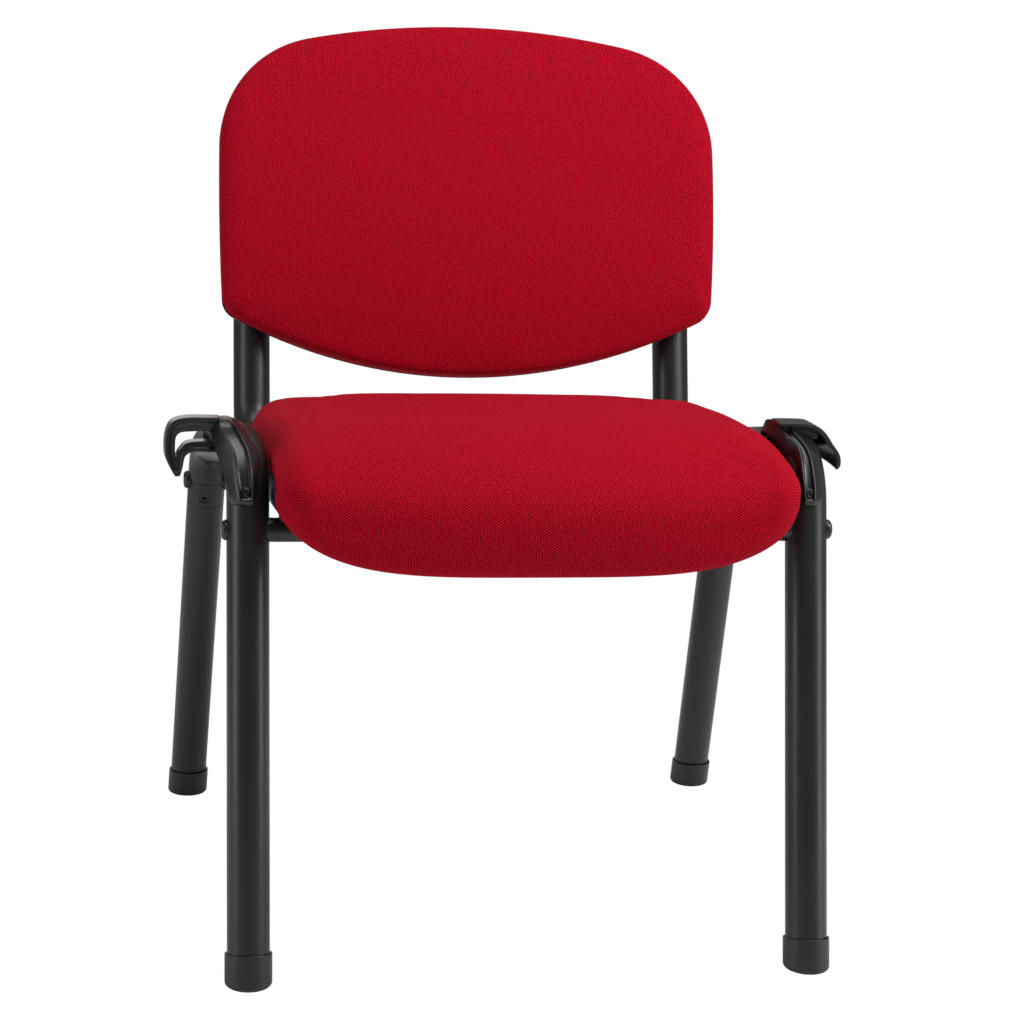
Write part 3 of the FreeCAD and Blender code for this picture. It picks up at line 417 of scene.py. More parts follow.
# %% Seat profile
SEAT_PLACE, SEAT_TILT = np.array([0, -176.214, 407.0]), math.radians(-3.16)
SEAT_HALF, SEAT_TOP, SEAT_CROWN = 216.3, 39.0, 6.0
SEAT_NOSE, NOSE_BOW, NOSE_CORNER = -80.0, 10.0, 27.0
SEAT_REAR, REAR_BOW, REAR_CORNER, REAR_ROUND = 337.0, 8.0, 120.0, 52.0
SIDE_ROUND, SIDE_DROP, UNDER_EDGE = 26.0, 31.0, 4.0
REAR_UNDER, REAR_UNDER_SHARE = 3.0, 0.3
FALL_START, WAIST_SHARE = 57.0, 0.61
LIP_DROP, LIP_HALF, LIP_POWER, LIP_FACE, LIP_BEND, LIP_ROUND_SHARE = 75.5, 221.5, 4, -26.0, 14.0, 0.18
PAN_LIP_HALF, PAN_LIP_DROP, PAN_LIP_CLEAR = 150.0, 40.0, 0.5
HEM, HEM_DROP, HEM_STEP, LIP_STEP, STEP_WIDTH = 28.0, 0.7, 4.6, 4.5, 1.5


def seat_profile(x, count):
    """Outer and inner line at x, from the rear edge to the lip: quarter ellipses and a crown."""
    share = abs(x) / SEAT_HALF
    past = abs(x) - SEAT_HALF
    top = SEAT_TOP - SIDE_DROP / SIDE_ROUND * round_drop(past + SIDE_ROUND, SIDE_ROUND)
    under = -HEM_DROP + round_drop(past + UNDER_EDGE, UNDER_EDGE)
    nose = SEAT_NOSE + NOSE_BOW * share ** 2 + round_drop(past + NOSE_CORNER, NOSE_CORNER)
    rear = SEAT_REAR - REAR_BOW * share ** 2 - round_drop(past + REAR_CORNER, REAR_CORNER)
    lip = -LIP_DROP * math.sqrt(1 - (abs(x) / LIP_HALF) ** LIP_POWER)
    waist = top - WAIST_SHARE * (top - lip)
    middle = (nose + LIP_FACE) / 2
    low = min(REAR_UNDER, REAR_UNDER_SHARE * (top - under))
    lip_round = LIP_ROUND_SHARE * (under - lip)
    tuck = HEM_STEP * (1 - fade(abs(x), SEAT_HALF - HEM - STEP_WIDTH, SEAT_HALF - HEM))
    behind = LIP_STEP * (1 - fade(abs(x), PAN_LIP_HALF - STEP_WIDTH, PAN_LIP_HALF + PAN_LIP_CLEAR))
    pan_edge = max(-PAN_LIP_DROP, (lip + under) / 2)
    run = np.linspace(0, 1, 40)
    top_y = rear - REAR_ROUND + (FALL_START - rear + REAR_ROUND) * run
    crown = SEAT_CROWN * (1 - share ** 2) * 4 * run * (1 - run)
    outer = np.concatenate([
        quarter((rear - REAR_ROUND, under + low), (REAR_ROUND, 0), (0, top - under - low)),
        np.stack([top_y, top + crown], -1),
        quarter((FALL_START, waist), (0, top - waist), (nose - FALL_START, 0), 30),
        quarter((middle, waist), (nose - middle, 0), (0, lip - waist), 16)])
    inner = np.concatenate([
        quarter((rear - low, under + low), (low, 0), (0, -low), 6),
        [(rear - HEM, under), (rear - HEM - STEP_WIDTH, under + tuck)],
        quarter((LIP_FACE + LIP_BEND, under - LIP_BEND), (0, LIP_BEND + tuck), (-LIP_BEND - behind, 0)),
        [(LIP_FACE - behind, pan_edge), (LIP_FACE, pan_edge - behind * 0.4)],
        quarter((middle, lip + lip_round), (LIP_FACE - middle, 0), (0, -lip_round))])
    return even_steps(outer, count), even_steps(inner, count)


print("seat profile in the middle has", len(seat_profile(0.0, 120)[0]), "points on its outer line")

# %% [markdown]
# The profiles stand side by side from the left edge to the right, closer together on the round sides. The
# sides open a little towards the rear, as the frame does. At both ends the outer and the inner line are
# sewn together. Pins hold the hem and the lower edge, while the rolled front stays free to swell.

# %% Make the seat
SEAT_SPREAD, SPREAD_END = 7.0, 180.0
PINNED_BELOW, FREE_ABOVE, FREE_AHEAD = 2.0, 12.0, 6.0
SEAT_SWELL = 2.2


def make_seat(count=120):
    """Profiles at stations across: even on the flat, then at sin(t) steps round the side edge."""
    flat = SEAT_HALF - SIDE_ROUND
    turns = np.radians(np.arange(1, 13) * 7.5)
    right = np.concatenate([np.linspace(0, flat, 40), flat + SIDE_ROUND * np.sin(turns)])
    stations = np.concatenate([-right[:0:-1], right])
    rows, along = [], []
    for x in stations:
        outer, inner = seat_profile(x, count)
        loop = np.concatenate([outer, inner[-2:0:-1]])
        way = np.cumsum(np.linalg.norm(np.diff(loop, axis=0, prepend=loop[:1]), axis=1))
        along.append(way - np.interp(-FALL_START, -outer[:, 0], way[:count]))
        spread = SEAT_SPREAD * x * abs(x) / SEAT_HALF ** 2
        rows.append(np.column_stack([x + spread * fade(loop[:, 0], 0, SPREAD_END), loop]))
    grid = np.array(rows)
    across = np.cumsum(np.linalg.norm(np.diff(grid, axis=0, prepend=grid[:1]), axis=2), axis=0)
    across -= across[len(stations) // 2]
    weave = np.stack([across, np.array(along), np.zeros_like(across)], -1).reshape(-1, 3)
    points, loops = grid.reshape(-1, 3), grid.shape[1]
    faces = grid_faces(len(stations), loops, closed=True).tolist()
    for row in (0, len(stations) - 1):
        for i in range(count - 1):
            sewn = [i, i + 1, (loops - i - 1) % loops, (loops - i) % loops]
            faces.append(list(dict.fromkeys(row * loops + k for k in sewn)))
    inside = np.tile(np.arange(loops) >= count, len(stations))
    held = np.maximum(inside * 1.0, 1 - fade(points[:, 2], PINNED_BELOW, FREE_ABOVE))
    held[(points[:, 1] < LIP_FACE - FREE_AHEAD) & ~inside] = 0
    make_cushion("seat_upholstery", to_world(points, SEAT_PLACE, SEAT_TILT), faces, weave, held, SEAT_SWELL,
                 "seat_cushion")


make_seat()

# %% [markdown]
# ## Seat pan
# Under the foam lies a bent plywood pan, drawn by the same kind of profile as the seat: flat, then bent
# down at the front. Its rear corners are rounded, so that no wood shows beside the cloth.

# %% Make the seat pan
PAN_HALF, PAN_REAR, PAN_CORNER, PAN_THICK = 212.0, 314.0, 103.0, 9.0
PAN_SHARP = math.radians(35)


def make_pan():
    """Its profile at each x: a flat strip, with a quarter bend and a lip where |x| is in the lip."""
    turns = PAN_CORNER * np.sin(np.radians(np.linspace(0, 90, 13)))
    lip_ends = [0, PAN_LIP_HALF, PAN_LIP_HALF + 0.01]
    right = np.unique(np.concatenate([lip_ends, PAN_HALF - PAN_CORNER + turns]))
    turn = LIP_FACE + LIP_BEND
    rows = []
    for x in np.concatenate([-right[:0:-1], right]):
        end = PAN_REAR - round_drop(abs(x) - PAN_HALF + PAN_CORNER, PAN_CORNER)
        if abs(x) > PAN_LIP_HALF:
            front = np.repeat([(turn, 0.0), (turn, PAN_THICK / 2), (turn, PAN_THICK)], (8, 2, 8), axis=0)
        else:
            front = np.concatenate([
                quarter((turn, -LIP_BEND), (0, LIP_BEND), (-LIP_BEND, 0), 8),
                [(LIP_FACE, -PAN_LIP_DROP), (LIP_FACE - PAN_THICK, -PAN_LIP_DROP)],
                quarter((turn, -LIP_BEND), (-LIP_BEND - PAN_THICK, 0), (0, LIP_BEND + PAN_THICK), 8)])
        loop = np.concatenate([[(end, PAN_THICK), (end, 0)], front])
        rows.append(np.column_stack([np.full(len(loop), x), loop]))
    points, faces = capped_grid(np.array(rows))
    points = to_world(points, SEAT_PLACE, SEAT_TILT)
    piece = make_piece("seat_board", points, faces, PLYWOOD, "seat_pan")
    piece.data.set_sharp_from_angle(angle=PAN_SHARP)


make_pan()

# %% [markdown]
# ## Back cushion
# The back is a foam pad on a bent board, wrapped about the sitter. Its outline is made of arcs: the top, the
# bowed sides, the bottom, and a fillet in each corner, whose centre lies where two offset circles meet.
# Arcs keep the edge smooth at any number of points, which a hand-drawn line would not.

# %% Back outline
BACK_HALF, BACK_HEIGHT = 241.0, 341.0
BACK_TOP_RADIUS, BACK_BOTTOM_RADIUS = 690.0, 520.0
BACK_SHOULDER, BACK_CORNER, BACK_BOW = 110.0, 19.0, 3.0
ARC_POINTS = 200


def circles_meet(first, first_radius, second, second_radius, upper):
    """The upper or lower of the two points at the given distances from two centres."""
    way = second - first
    gap = np.linalg.norm(way)
    reach = (first_radius ** 2 - second_radius ** 2 + gap ** 2) / (2 * gap)
    rise = math.sqrt(first_radius ** 2 - reach ** 2)
    along = way / gap
    square = np.array([-along[1], along[0]])
    points = [first + along * reach + square * rise, first + along * reach - square * rise]
    return max(points, key=lambda p: p[1] if upper else -p[1])


def arc(centre, radius, start, finish):
    """Points on a circle between the headings of two points: centre + radius (cos t, sin t)."""
    headings = [math.atan2(*(point - centre)[::-1]) for point in (start, finish)]
    t = np.linspace(*headings, ARC_POINTS)
    return centre + radius * np.stack([np.cos(t), np.sin(t)], -1)


def touch(centre, radius, fillet_centre):
    """Where a circle touches a fillet inside it: on the line through both centres."""
    way = fillet_centre - centre
    return centre + way / np.linalg.norm(way) * radius


def back_outline(count):
    """Outline points and outward normals at even steps, starting at the top and going round by the right."""
    edge = BACK_HALF - BACK_BOW
    top, bottom = np.array([0, BACK_HEIGHT - BACK_TOP_RADIUS]), np.array([0, BACK_BOTTOM_RADIUS])
    high = top[1] + math.sqrt(BACK_TOP_RADIUS ** 2 - edge ** 2)
    low = bottom[1] - math.sqrt(BACK_BOTTOM_RADIUS ** 2 - edge ** 2)
    side_radius = (((high - low) / 2) ** 2 + BACK_BOW ** 2) / (2 * BACK_BOW)
    side = np.array([BACK_HALF - side_radius, (high + low) / 2])
    mirror = np.array([-1, 1])

    def fillet(end, end_radius, radius, upper):
        centre = circles_meet(end, end_radius - radius, side, side_radius - radius, upper)
        return centre * mirror if centre[0] < 0 else centre

    shoulder = fillet(top, BACK_TOP_RADIUS, BACK_SHOULDER, True)
    lower = fillet(bottom, BACK_BOTTOM_RADIUS, BACK_CORNER, False)
    a, b = touch(top, BACK_TOP_RADIUS, shoulder), touch(side, side_radius, shoulder)
    c, d = touch(side, side_radius, lower), touch(bottom, BACK_BOTTOM_RADIUS, lower)
    half = np.concatenate([
        arc(top, BACK_TOP_RADIUS, np.array([0, BACK_HEIGHT]), a), arc(shoulder, BACK_SHOULDER, a, b),
        arc(side, side_radius, b, c), arc(lower, BACK_CORNER, c, d),
        arc(bottom, BACK_BOTTOM_RADIUS, d, np.array([0.0, 0.0]))])
    whole = even_steps(np.concatenate([half, half[-2::-1] * mirror]), count + 1)[:-1]
    along = np.roll(whole, -1, axis=0) - np.roll(whole, 1, axis=0)
    normal = np.stack([-along[:, 1], along[:, 0]], -1) / np.linalg.norm(along, axis=1, keepdims=True)
    return whole, normal


print("back outline starts at", back_outline(360)[0][0].round(1), "mm")

# %% [markdown]
# A square grid is bent to a disc and the disc to the outline, so the front has no pole where lines would
# crowd together. Around it, rings turn over the edge, run down the wall and turn under.

# %% Back surface
BACK_FRONT, BACK_WRAP, BACK_CROWN = -45.5, 1900.0, 1400.0
SHELL_AXIS, SHELL_FRONT = -950.45, 946.6
BACK_EDGE, EDGE_ANGLES = 13.0, np.linspace(0, math.pi / 2, 9)[1:]
WALL_SHARES, WALL_CLOTH, WALL_GAP = (0.33, 0.66, 1), 12, 1.5
TURNED_UNDER = ((0.5, 0.4, 14), (2.0, 0.1, 16))


def back_front(x, z):
    """Depth of the front face: wrapped about an upright axis ahead, crowned about a level one behind."""
    wrap = BACK_WRAP - np.sqrt(BACK_WRAP ** 2 - x ** 2)
    crown = BACK_CROWN - np.sqrt(BACK_CROWN ** 2 - (z - BACK_HEIGHT / 2) ** 2)
    return BACK_FRONT - wrap + crown


def back_rear(x):
    """Depth of the shell's front, a cylinder about an upright axis: axis + sqrt(r^2 - x^2)."""
    return SHELL_AXIS + np.sqrt(SHELL_FRONT ** 2 - x ** 2)


def disc_grid(size):
    """Radius and angle of a square grid bent to a disc: (a sqrt(1 - b^2 / 2), b sqrt(1 - a^2 / 2))."""
    line = np.linspace(-1, 1, size)
    a, b = np.meshgrid(line, line)
    u, v = a * np.sqrt(1 - b * b / 2), b * np.sqrt(1 - a * a / 2)
    return np.hypot(u, v), np.arctan2(v, u)


def at_heading(values, heading, wanted):
    """The outline's values read at other angles; the outline is repeated so that no angle is left out."""
    order = np.argsort(heading)
    turns = np.concatenate([heading[order] - 2 * math.pi, heading[order], heading[order] + 2 * math.pi])
    return np.stack([np.interp(wanted, turns, np.tile(values[order, k], 3)) for k in (0, 1)], -1)


def edge_rings(front, rear):
    """Rings as (outward, depth, way along the cloth): a quarter circle, the wall and the hem."""
    rings = [(BACK_EDGE * math.sin(t), front + BACK_EDGE * (1 - math.cos(t)), BACK_EDGE * t)
             for t in EDGE_ANGLES]
    start, wall = front + BACK_EDGE, BACK_EDGE * math.pi / 2
    rings += [(BACK_EDGE, start + (rear - WALL_GAP - start) * s, wall + WALL_CLOTH * s) for s in WALL_SHARES]
    return rings + [(BACK_EDGE - inset, rear - gap, wall + way) for inset, gap, way in TURNED_UNDER]


print("back is", round(float(back_rear(0) - back_front(0, BACK_HEIGHT / 2)), 1), "mm thick in the middle")

# %% [markdown]
# The rings are sewn to the rim of the front grid. A second grid, hidden against the shell, closes the
# rear, because one large face there would be slow to subdivide.

# %% Make the back
BACK_PLACE, BACK_TILT = np.array([0, 192.136, 435.043]), math.radians(-14.0)
BACK_SWELL = 2.0
FREE_RINGS, REAR_SHRINK, REAR_GAP = 3, 0.985, 0.1


def make_back(size=93):
    """Front grid, edge rings and rear grid, sewn together; the front and the first rings stay free."""
    outline, normal = back_outline(2400)
    middle = np.array([0, BACK_HEIGHT / 2])
    inner = outline - normal * BACK_EDGE
    heading = np.arctan2((inner[:, 1] - middle[1]) / BACK_HEIGHT, inner[:, 0] / (2 * BACK_HALF))
    ring, turn = disc_grid(size)
    face = middle + (at_heading(inner, heading, turn.ravel()) - middle) * ring.reshape(-1, 1)
    points = [np.column_stack([face[:, 0], back_front(face[:, 0], face[:, 1]), face[:, 1]])]
    weave = [face]
    faces = grid_faces(size, size).tolist()
    index = np.arange(size * size).reshape(size, size)
    rim = np.concatenate([index[0, :-1], index[:-1, -1], index[-1, :0:-1], index[:0:-1, 0]])
    count = len(rim)
    after = np.roll(np.arange(count), -1)
    rim_inner, rim_normal = (at_heading(values, heading, turn.ravel()[rim]) for values in (inner, normal))
    rim_normal /= np.linalg.norm(rim_normal, axis=1, keepdims=True)
    front = back_front(rim_inner[:, 0], rim_inner[:, 1])
    rear = back_rear(rim_inner[:, 0] + rim_normal[:, 0] * BACK_EDGE)
    before, total = rim, size * size
    for out, depth, way in edge_rings(front, rear):
        place = rim_inner + rim_normal * out
        points.append(np.column_stack([place[:, 0], depth, place[:, 1]]))
        weave.append(rim_inner + rim_normal * way)
        now = np.arange(total, total + count)
        faces += np.stack([before, before[after], now[after], now], -1).tolist()
        before = now
        total += count
    hidden = middle + (face - middle) * REAR_SHRINK
    points.append(np.column_stack([hidden[:, 0], back_rear(hidden[:, 0]) - REAR_GAP, hidden[:, 1]]))
    weave.append(face)
    faces += (grid_faces(size, size, total)[:, ::-1]).tolist()
    faces += np.stack([before, before[after], total + rim[after], total + rim], -1).tolist()
    points, weave = np.concatenate(points), np.concatenate(weave)
    held = np.zeros(len(points))
    held[size * size + count * FREE_RINGS:] = 1.0
    make_cushion("back_upholstery", to_world(points, BACK_PLACE, BACK_TILT), faces,
                 np.column_stack([weave, np.zeros(len(weave))]), held, BACK_SWELL, "back_cushion")


make_back()


# %% [markdown]
# ## Links
# Two mouldings clip chairs into a row: a loop on the left and a hook on the right. Each has a strap on the
# bend of the side tube and an arm that stands out. Blocks would have hard corners, so each is a section
# carried along a curve. The strap's lines are pairs (way along the bend, distance outward), and the arms'
# are pairs (distance outward, drop below the link's top). A Catmull-Rom curve runs through each.

# %% Bend of the side tube
SIDE_FOOT = np.array([235.5, -254.0, 0.0])
TOE, LEAN = math.radians(3.26), math.radians(0.63)
BEND_CENTRE, BEND_RADIUS = np.array([132.12, 371.47]), 52.0
BEND_START, BEND_LENGTH = math.radians(168), 79.87
TUBE_RADIUS, RIM_HEIGHT, LINK_TOP = 17.5, 22.8, 445.97


def side_world(points, side):
    """From a side's own frame (outward, back, up) to the chair in metres; side is -1 left, 1 right."""
    back = np.array([math.sin(TOE), math.cos(TOE), 0])
    across = np.cross(back, np.array([-math.sin(LEAN), 0, math.cos(LEAN)]))
    across /= np.linalg.norm(across)
    return (points @ np.array([across, back, np.cross(across, back)]) + SIDE_FOOT) * [side, 1, 1] / MM


def along_bend(way, outward, over):
    """Place at a way along the bent tube's axis, a distance outward and a height over the axis."""
    bent = np.clip(way, 0, BEND_LENGTH)
    turn = BEND_START - bent / BEND_RADIUS
    rise = np.stack([np.cos(turn), np.sin(turn)], -1)
    ahead = np.stack([np.sin(turn), -np.cos(turn)], -1)
    place = BEND_CENTRE + rise * (BEND_RADIUS + over)[..., None] + ahead * (way - bent)[..., None]
    return np.concatenate([outward[..., None], place], -1)


def tube_height(outward):
    """Height of the round tube over its axis at a distance outward: sqrt(r^2 - x^2)."""
    return np.sqrt(np.maximum(TUBE_RADIUS ** 2 - outward ** 2, 0))


def curve(points, steps=8):
    """Catmull-Rom: (2b + (c-a)t + (2a-5b+4c-d)t^2 + (3b-a-3c+d)t^3) / 2 between points b and c."""
    p = np.array(points, float)
    p = np.concatenate([[2 * p[0] - p[1]], p, [2 * p[-1] - p[-2]]])
    t = np.linspace(0, 1, steps, endpoint=False)[:, None]
    parts = [(2 * b + (c - a) * t + (2 * a - 5 * b + 4 * c - d) * t ** 2
              + (3 * b - a - 3 * c + d) * t ** 3) / 2 for a, b, c, d in zip(p, p[1:], p[2:], p[3:])]
    return np.concatenate(parts + [p[-2:-1]])


print("the bend turns by", round(math.degrees(BEND_LENGTH / BEND_RADIUS), 1), "degrees")

# %% [markdown]
# The strap's section goes from its inner foot over the inner rim, across the channel's floor and over the
# outer rim to the outer foot, then back inside the tube. Near both ends the section sinks into the tube,
# and at the lower end it also grows narrow.

# %% Strap
STRAP_START, STRAP_END = -2, 86
CHANNEL_DEPTH, CHANNEL_OPEN, CHANNEL_CLOSE = 2.9, (1.5, 4.5), 9
FOOT_OVER, FOOT_LOWEST, HOLD_REACH = 0.9, 12.5, 16
START_RISE, END_RISE, SINK = 6, 5, 0.6
TIP_WIDTH, TIP_LENGTH = 0.45, 8


def strap(lines, channel_end):
    """The section at each way along the bend; ends rise as sqrt(1 - (1 - t)^2) from inside the tube."""
    # first way, last way and number of sections, which stand closer at the ends
    stretches = [(STRAP_START, 8, 18), (9.5, 78, 44), (79, STRAP_END, 12)]
    way = np.concatenate([np.linspace(*stretch) for stretch in stretches])
    foot_in, rim_in, rim_out, foot_out = (np.interp(way, *curve(line).T) for line in lines)
    closing = fade(way, channel_end, channel_end + CHANNEL_CLOSE)
    floor = RIM_HEIGHT - CHANNEL_DEPTH * fade(way, *CHANNEL_OPEN) * (1 - closing)
    low_in, low_out = (np.maximum(tube_height(foot) + FOOT_OVER, FOOT_LOWEST) for foot in (foot_in, foot_out))
    hold_in, hold_out = (np.clip(foot, -HOLD_REACH, HOLD_REACH) for foot in (foot_in, foot_out))
    crest = np.full_like(way, RIM_HEIGHT)

    def flank(foot, low, rim, share):
        return foot + (rim - foot) * share, low + (crest - 0.7 - low) * share + 0.5

    # (outward, over the axis): small steps off the feet, rims and floor round the section's corners
    section = [
        (hold_in, tube_height(hold_in) - 1.5), (foot_in, low_in - 0.7), (foot_in + 0.1, low_in),
        flank(foot_in, low_in, rim_in - 1.0, 0.35), flank(foot_in, low_in, rim_in - 1.0, 0.75),
        (rim_in - 1.0, crest - 0.6), (rim_in - 0.3, crest), (rim_in + 0.5, crest),
        (rim_in + 1.1, crest - 0.5), (rim_in + 1.5, floor + 0.3), (rim_in + 2.4, floor),
        ((rim_in + rim_out) / 2, floor - 0.1),
        (rim_out - 2.4, floor), (rim_out - 1.5, floor + 0.3), (rim_out - 1.1, crest - 0.5),
        (rim_out - 0.5, crest), (rim_out + 0.3, crest), (rim_out + 1.0, crest - 0.6),
        flank(foot_out, low_out, rim_out + 1.0, 0.75), flank(foot_out, low_out, rim_out + 1.0, 0.35),
        (foot_out - 0.1, low_out), (foot_out, low_out - 0.7), (hold_out, tube_height(hold_out) - 1.5)]
    outward = np.stack([part[0] for part in section], -1)
    over = np.stack([part[1] for part in section], -1)
    from_start, from_end = way - STRAP_START, STRAP_END - way
    near = np.minimum(np.clip(from_start / START_RISE, 0, 1), np.clip(from_end / END_RISE, 0, 1))
    swell = np.sqrt(1 - (1 - near) ** 2)[:, None]
    sunk = np.minimum(over, tube_height(outward) - SINK)
    middle = ((foot_in + foot_out) / 2)[:, None]
    tip = np.sqrt(1 - (1 - np.clip(from_start / TIP_LENGTH, 0, 1)) ** 2)[:, None]
    outward = middle + (outward - middle) * (TIP_WIDTH + (1 - TIP_WIDTH) * tip)
    ways = np.repeat(way[:, None], len(section), 1)
    return capped_grid(along_bend(ways, outward, sunk + (over - sunk) * swell))


def join(*shells):
    """Several closed shells as one list of points and one of faces."""
    points, faces, start = [], [], 0
    for shell_points, shell_faces in shells:
        points.append(shell_points)
        faces += [[i + start for i in face] for face in shell_faces]
        start += len(shell_points)
    return np.concatenate(points), faces


def make_link(name, shells, side, node):
    """One plastic piece from the shells of a link, on its side of the chair."""
    points, faces = join(*shells)
    subdivide(make_piece(name, side_world(points, side), faces, LINK_PLASTIC, node))


print("a strap is", STRAP_END - STRAP_START, "mm long")

# %% [markdown]
# ## Loop
# The left link ends in a loop that the neighbour's hook drops into: a flat ring with a raised rim. Its
# section is carried along two lines at once, the outer line and the window, so its width can change.

# %% Make the loop
LOOP_LINES = [
    [(-3, -4.3), (8, -5.3), (16, -7.2), (26, -9.8), (35, -9.5), (47, -3.1), (66, 1.3), (88, 2)],
    [(-3, -2), (5, -1.6), (18, -0.9), (33, 0.9), (42, 4.4), (58, 9.1), (67, 10.1), (88, 11)],
    [(-3, 8), (2.5, 8.9), (13, 11), (26, 12.4), (34, 13.9), (47, 19.5), (65, 24), (88, 25)],
    [(-3, 16), (5, 17.3), (11, 18.6), (20, 20.6), (28, 23.1), (39, 26), (58, 29.4), (88, 31)]]
LOOP_OUTER = [
    (20, -2.4), (30.6, -2.4), (47.8, -2.2), (59.5, 1.6), (64.4, 12), (65, 27.9), (61.9, 37.4), (56.9, 46.2),
    (54.3, 47.2), (52, 46), (50.1, 39), (48, 30.2), (41, 26.6), (26.8, 26.9), (18, 27)]
LOOP_WINDOW = [
    (20, 9.4), (30.3, 9.4), (44.4, 9.9), (52.3, 10.9), (56, 15.1), (56.5, 24), (56.3, 28.5), (56, 30.4),
    (55.5, 30.7), (55, 30), (54.4, 28), (52.2, 24.4), (46, 19), (30, 17.6), (18, 17.6)]
LOOP_FACE, LOOP_DEPTH, LOOP_CHANNEL_END = 113.5, 18.5, 54


def loop_arm():
    """Ring through pairs (distance in, depth behind the face), from the outside, then from the window."""
    outer, window = curve(LOOP_OUTER), curve(LOOP_WINDOW)
    width = np.linalg.norm(window - outer, axis=1)
    inward = (window - outer) / width[:, None]
    far = LOOP_DEPTH
    from_outside = [(0.5, far), (0, far - 0.6), (0, far / 2), (0, 1.0), (0.4, 0.25), (1.2, 0), (3.2, 0),
                    (3.9, 0.3), (4.2, 1.7)]
    from_window = [(2.6, 1.8), (0.9, 2.0), (0.2, 2.6), (0, 3.6), (0, far / 2), (0, far - 0.6), (0.5, far)]
    inset = [np.full_like(width, a) for a, _ in from_outside] + [width - a for a, _ in from_window]
    depth = [d for _, d in from_outside + from_window]
    place = outer[:, None] + inward[:, None] * np.stack(inset, -1)[..., None]
    back = np.broadcast_to(LOOP_FACE + np.array(depth), place.shape[:2])
    return capped_grid(np.stack([place[..., 0], back, LINK_TOP - place[..., 1]], -1))


make_link("loop_link", [strap(LOOP_LINES, LOOP_CHANNEL_END), loop_arm()], -1, "link_loop_left")

# %% [markdown]
# ## Hook
# The right link ends in a plate that bends down into the neighbour's loop. It lies between an outer and an
# inner line. Towards the rear its end is cut shorter and turns inwards. A rib stiffens it.

# %% Make the hook
HOOK_LINES = [
    [(-3, -8), (12, -8.9), (23, -9.9), (30, -10.4), (36, -12.6), (41, -16.3), (64, -25), (88, -26)],
    [(-3, -5.8), (5, -6), (16, -6.6), (25, -6.5), (32, -6.4), (38, -7.6), (44, -10.8), (52, -16), (79, -20.8),
     (88, -21)],
    [(-3, 1.6), (6, 2.4), (13, 2.6), (30, 1.6), (38, -0.5), (44, -3.5), (52, -7.5), (64, -10), (79, -8),
     (88, -8)],
    [(-3, 10), (13, 12), (26, 12.5), (36, 10.5), (44, 6), (54, 0), (64, -3), (88, -2)]]
HOOK_OUTER = [
    (-20, -2.2), (-6.4, -2.2), (2.1, -2), (7, -1.6), (12, -0.3), (16.4, 2.2), (20.9, 6), (24.9, 11.2),
    (28.9, 17.2), (32.4, 21.6), (34.6, 25.4), (35.8, 30.6), (35.5, 35), (33.6, 37.8), (31.6, 38.4)]
HOOK_INNER = [
    (-20, 1.2), (-3.8, 1.3), (3.5, 1.7), (9.7, 2.8), (14.1, 5.4), (18, 9.4), (21.3, 13.5), (24.6, 18.2),
    (27.9, 21.6), (30, 25.4), (31, 30.6), (30.8, 34.6), (30.9, 37)]
HOOK_FACE, HOOK_DEPTH, HOOK_CHANNEL_END = 105.5, 28.5, 62
HOOK_TURN, TURN_POWER, TURN_SPAN = 15.0, 1.3, (0.38, 0.75)
HOOK_SLANT, HOOK_ROUND, HOOK_INSET = 0.13, 1.2, 0.9


def hook_arm(count=44):
    """Plate: at each depth both lines, cut by the slant and shifted by turn x (depth share)^power."""
    outer, inner = even_steps(curve(HOOK_OUTER), count), even_steps(curve(HOOK_INNER), count)
    share = np.linspace(0, 1, count)
    edge = [0, 0.4, HOOK_ROUND]
    rows = []
    for depth in [*edge, *np.linspace(3, HOOK_DEPTH - 3, 14), *(HOOK_DEPTH - d for d in edge[::-1])]:
        part = depth / HOOK_DEPTH
        kept = share * (1 - HOOK_SLANT * part)
        turn = HOOK_TURN * part ** TURN_POWER * fade(share, *TURN_SPAN)
        near = min(depth, HOOK_DEPTH - depth, HOOK_ROUND)
        inset = HOOK_INSET * round_drop(HOOK_ROUND - near, HOOK_ROUND) / HOOK_ROUND
        lines = [np.stack([np.interp(kept, share, line[:, 0]) - turn, np.interp(kept, share, line[:, 1])], -1)
                 for line in (outer, inner)]
        across = lines[1] - lines[0]
        across /= np.maximum(np.linalg.norm(across, axis=1), 0.5)[:, None]
        loop = np.concatenate([lines[0] + across * inset, (lines[1] - across * inset)[::-1]])
        back = np.full(len(loop), HOOK_FACE + depth)
        rows.append(np.column_stack([loop[:, 0], back, LINK_TOP - loop[:, 1]]))
    grid = np.array(rows)
    ring = 2 * count
    faces = grid_faces(len(rows), ring, closed=True).tolist()
    i = np.arange(count - 1)
    for first in (0, (len(rows) - 1) * ring):
        faces += (np.stack([i, i + 1, ring - 2 - i, ring - 1 - i], -1) + first).tolist()
    return grid.reshape(-1, 3), faces


HOOK_RIB = [(-16, 0), (16.8, 2), (16.4, 12.4), (12, 12.9), (6.9, 12), (-2.9, 11.6), (-9, 11), (-16, 9)]
RIB_ROWS = [(6.5, 0.93), (6.9, 0.98), (8, 1), (15, 1), (25, 1), (26, 0.96)]
RIB_ROUND = 0.06


def hook_rib():
    """Rib: its outline, with each corner split in two, carried back through (depth, size) rows."""
    outline = np.array(HOOK_RIB, float)
    middle = outline.mean(axis=0)
    rows = []
    for depth, size in RIB_ROWS:
        ring = middle + (outline - middle) * size
        near = [np.roll(ring, way, axis=0) * RIB_ROUND for way in (1, -1)]
        ring = np.stack([ring * (1 - RIB_ROUND) + part for part in near], 1).reshape(-1, 2)
        back = np.full(len(ring), HOOK_FACE + depth)
        rows.append(np.column_stack([ring[:, 0], back, LINK_TOP - ring[:, 1]]))
    return capped_grid(np.array(rows))


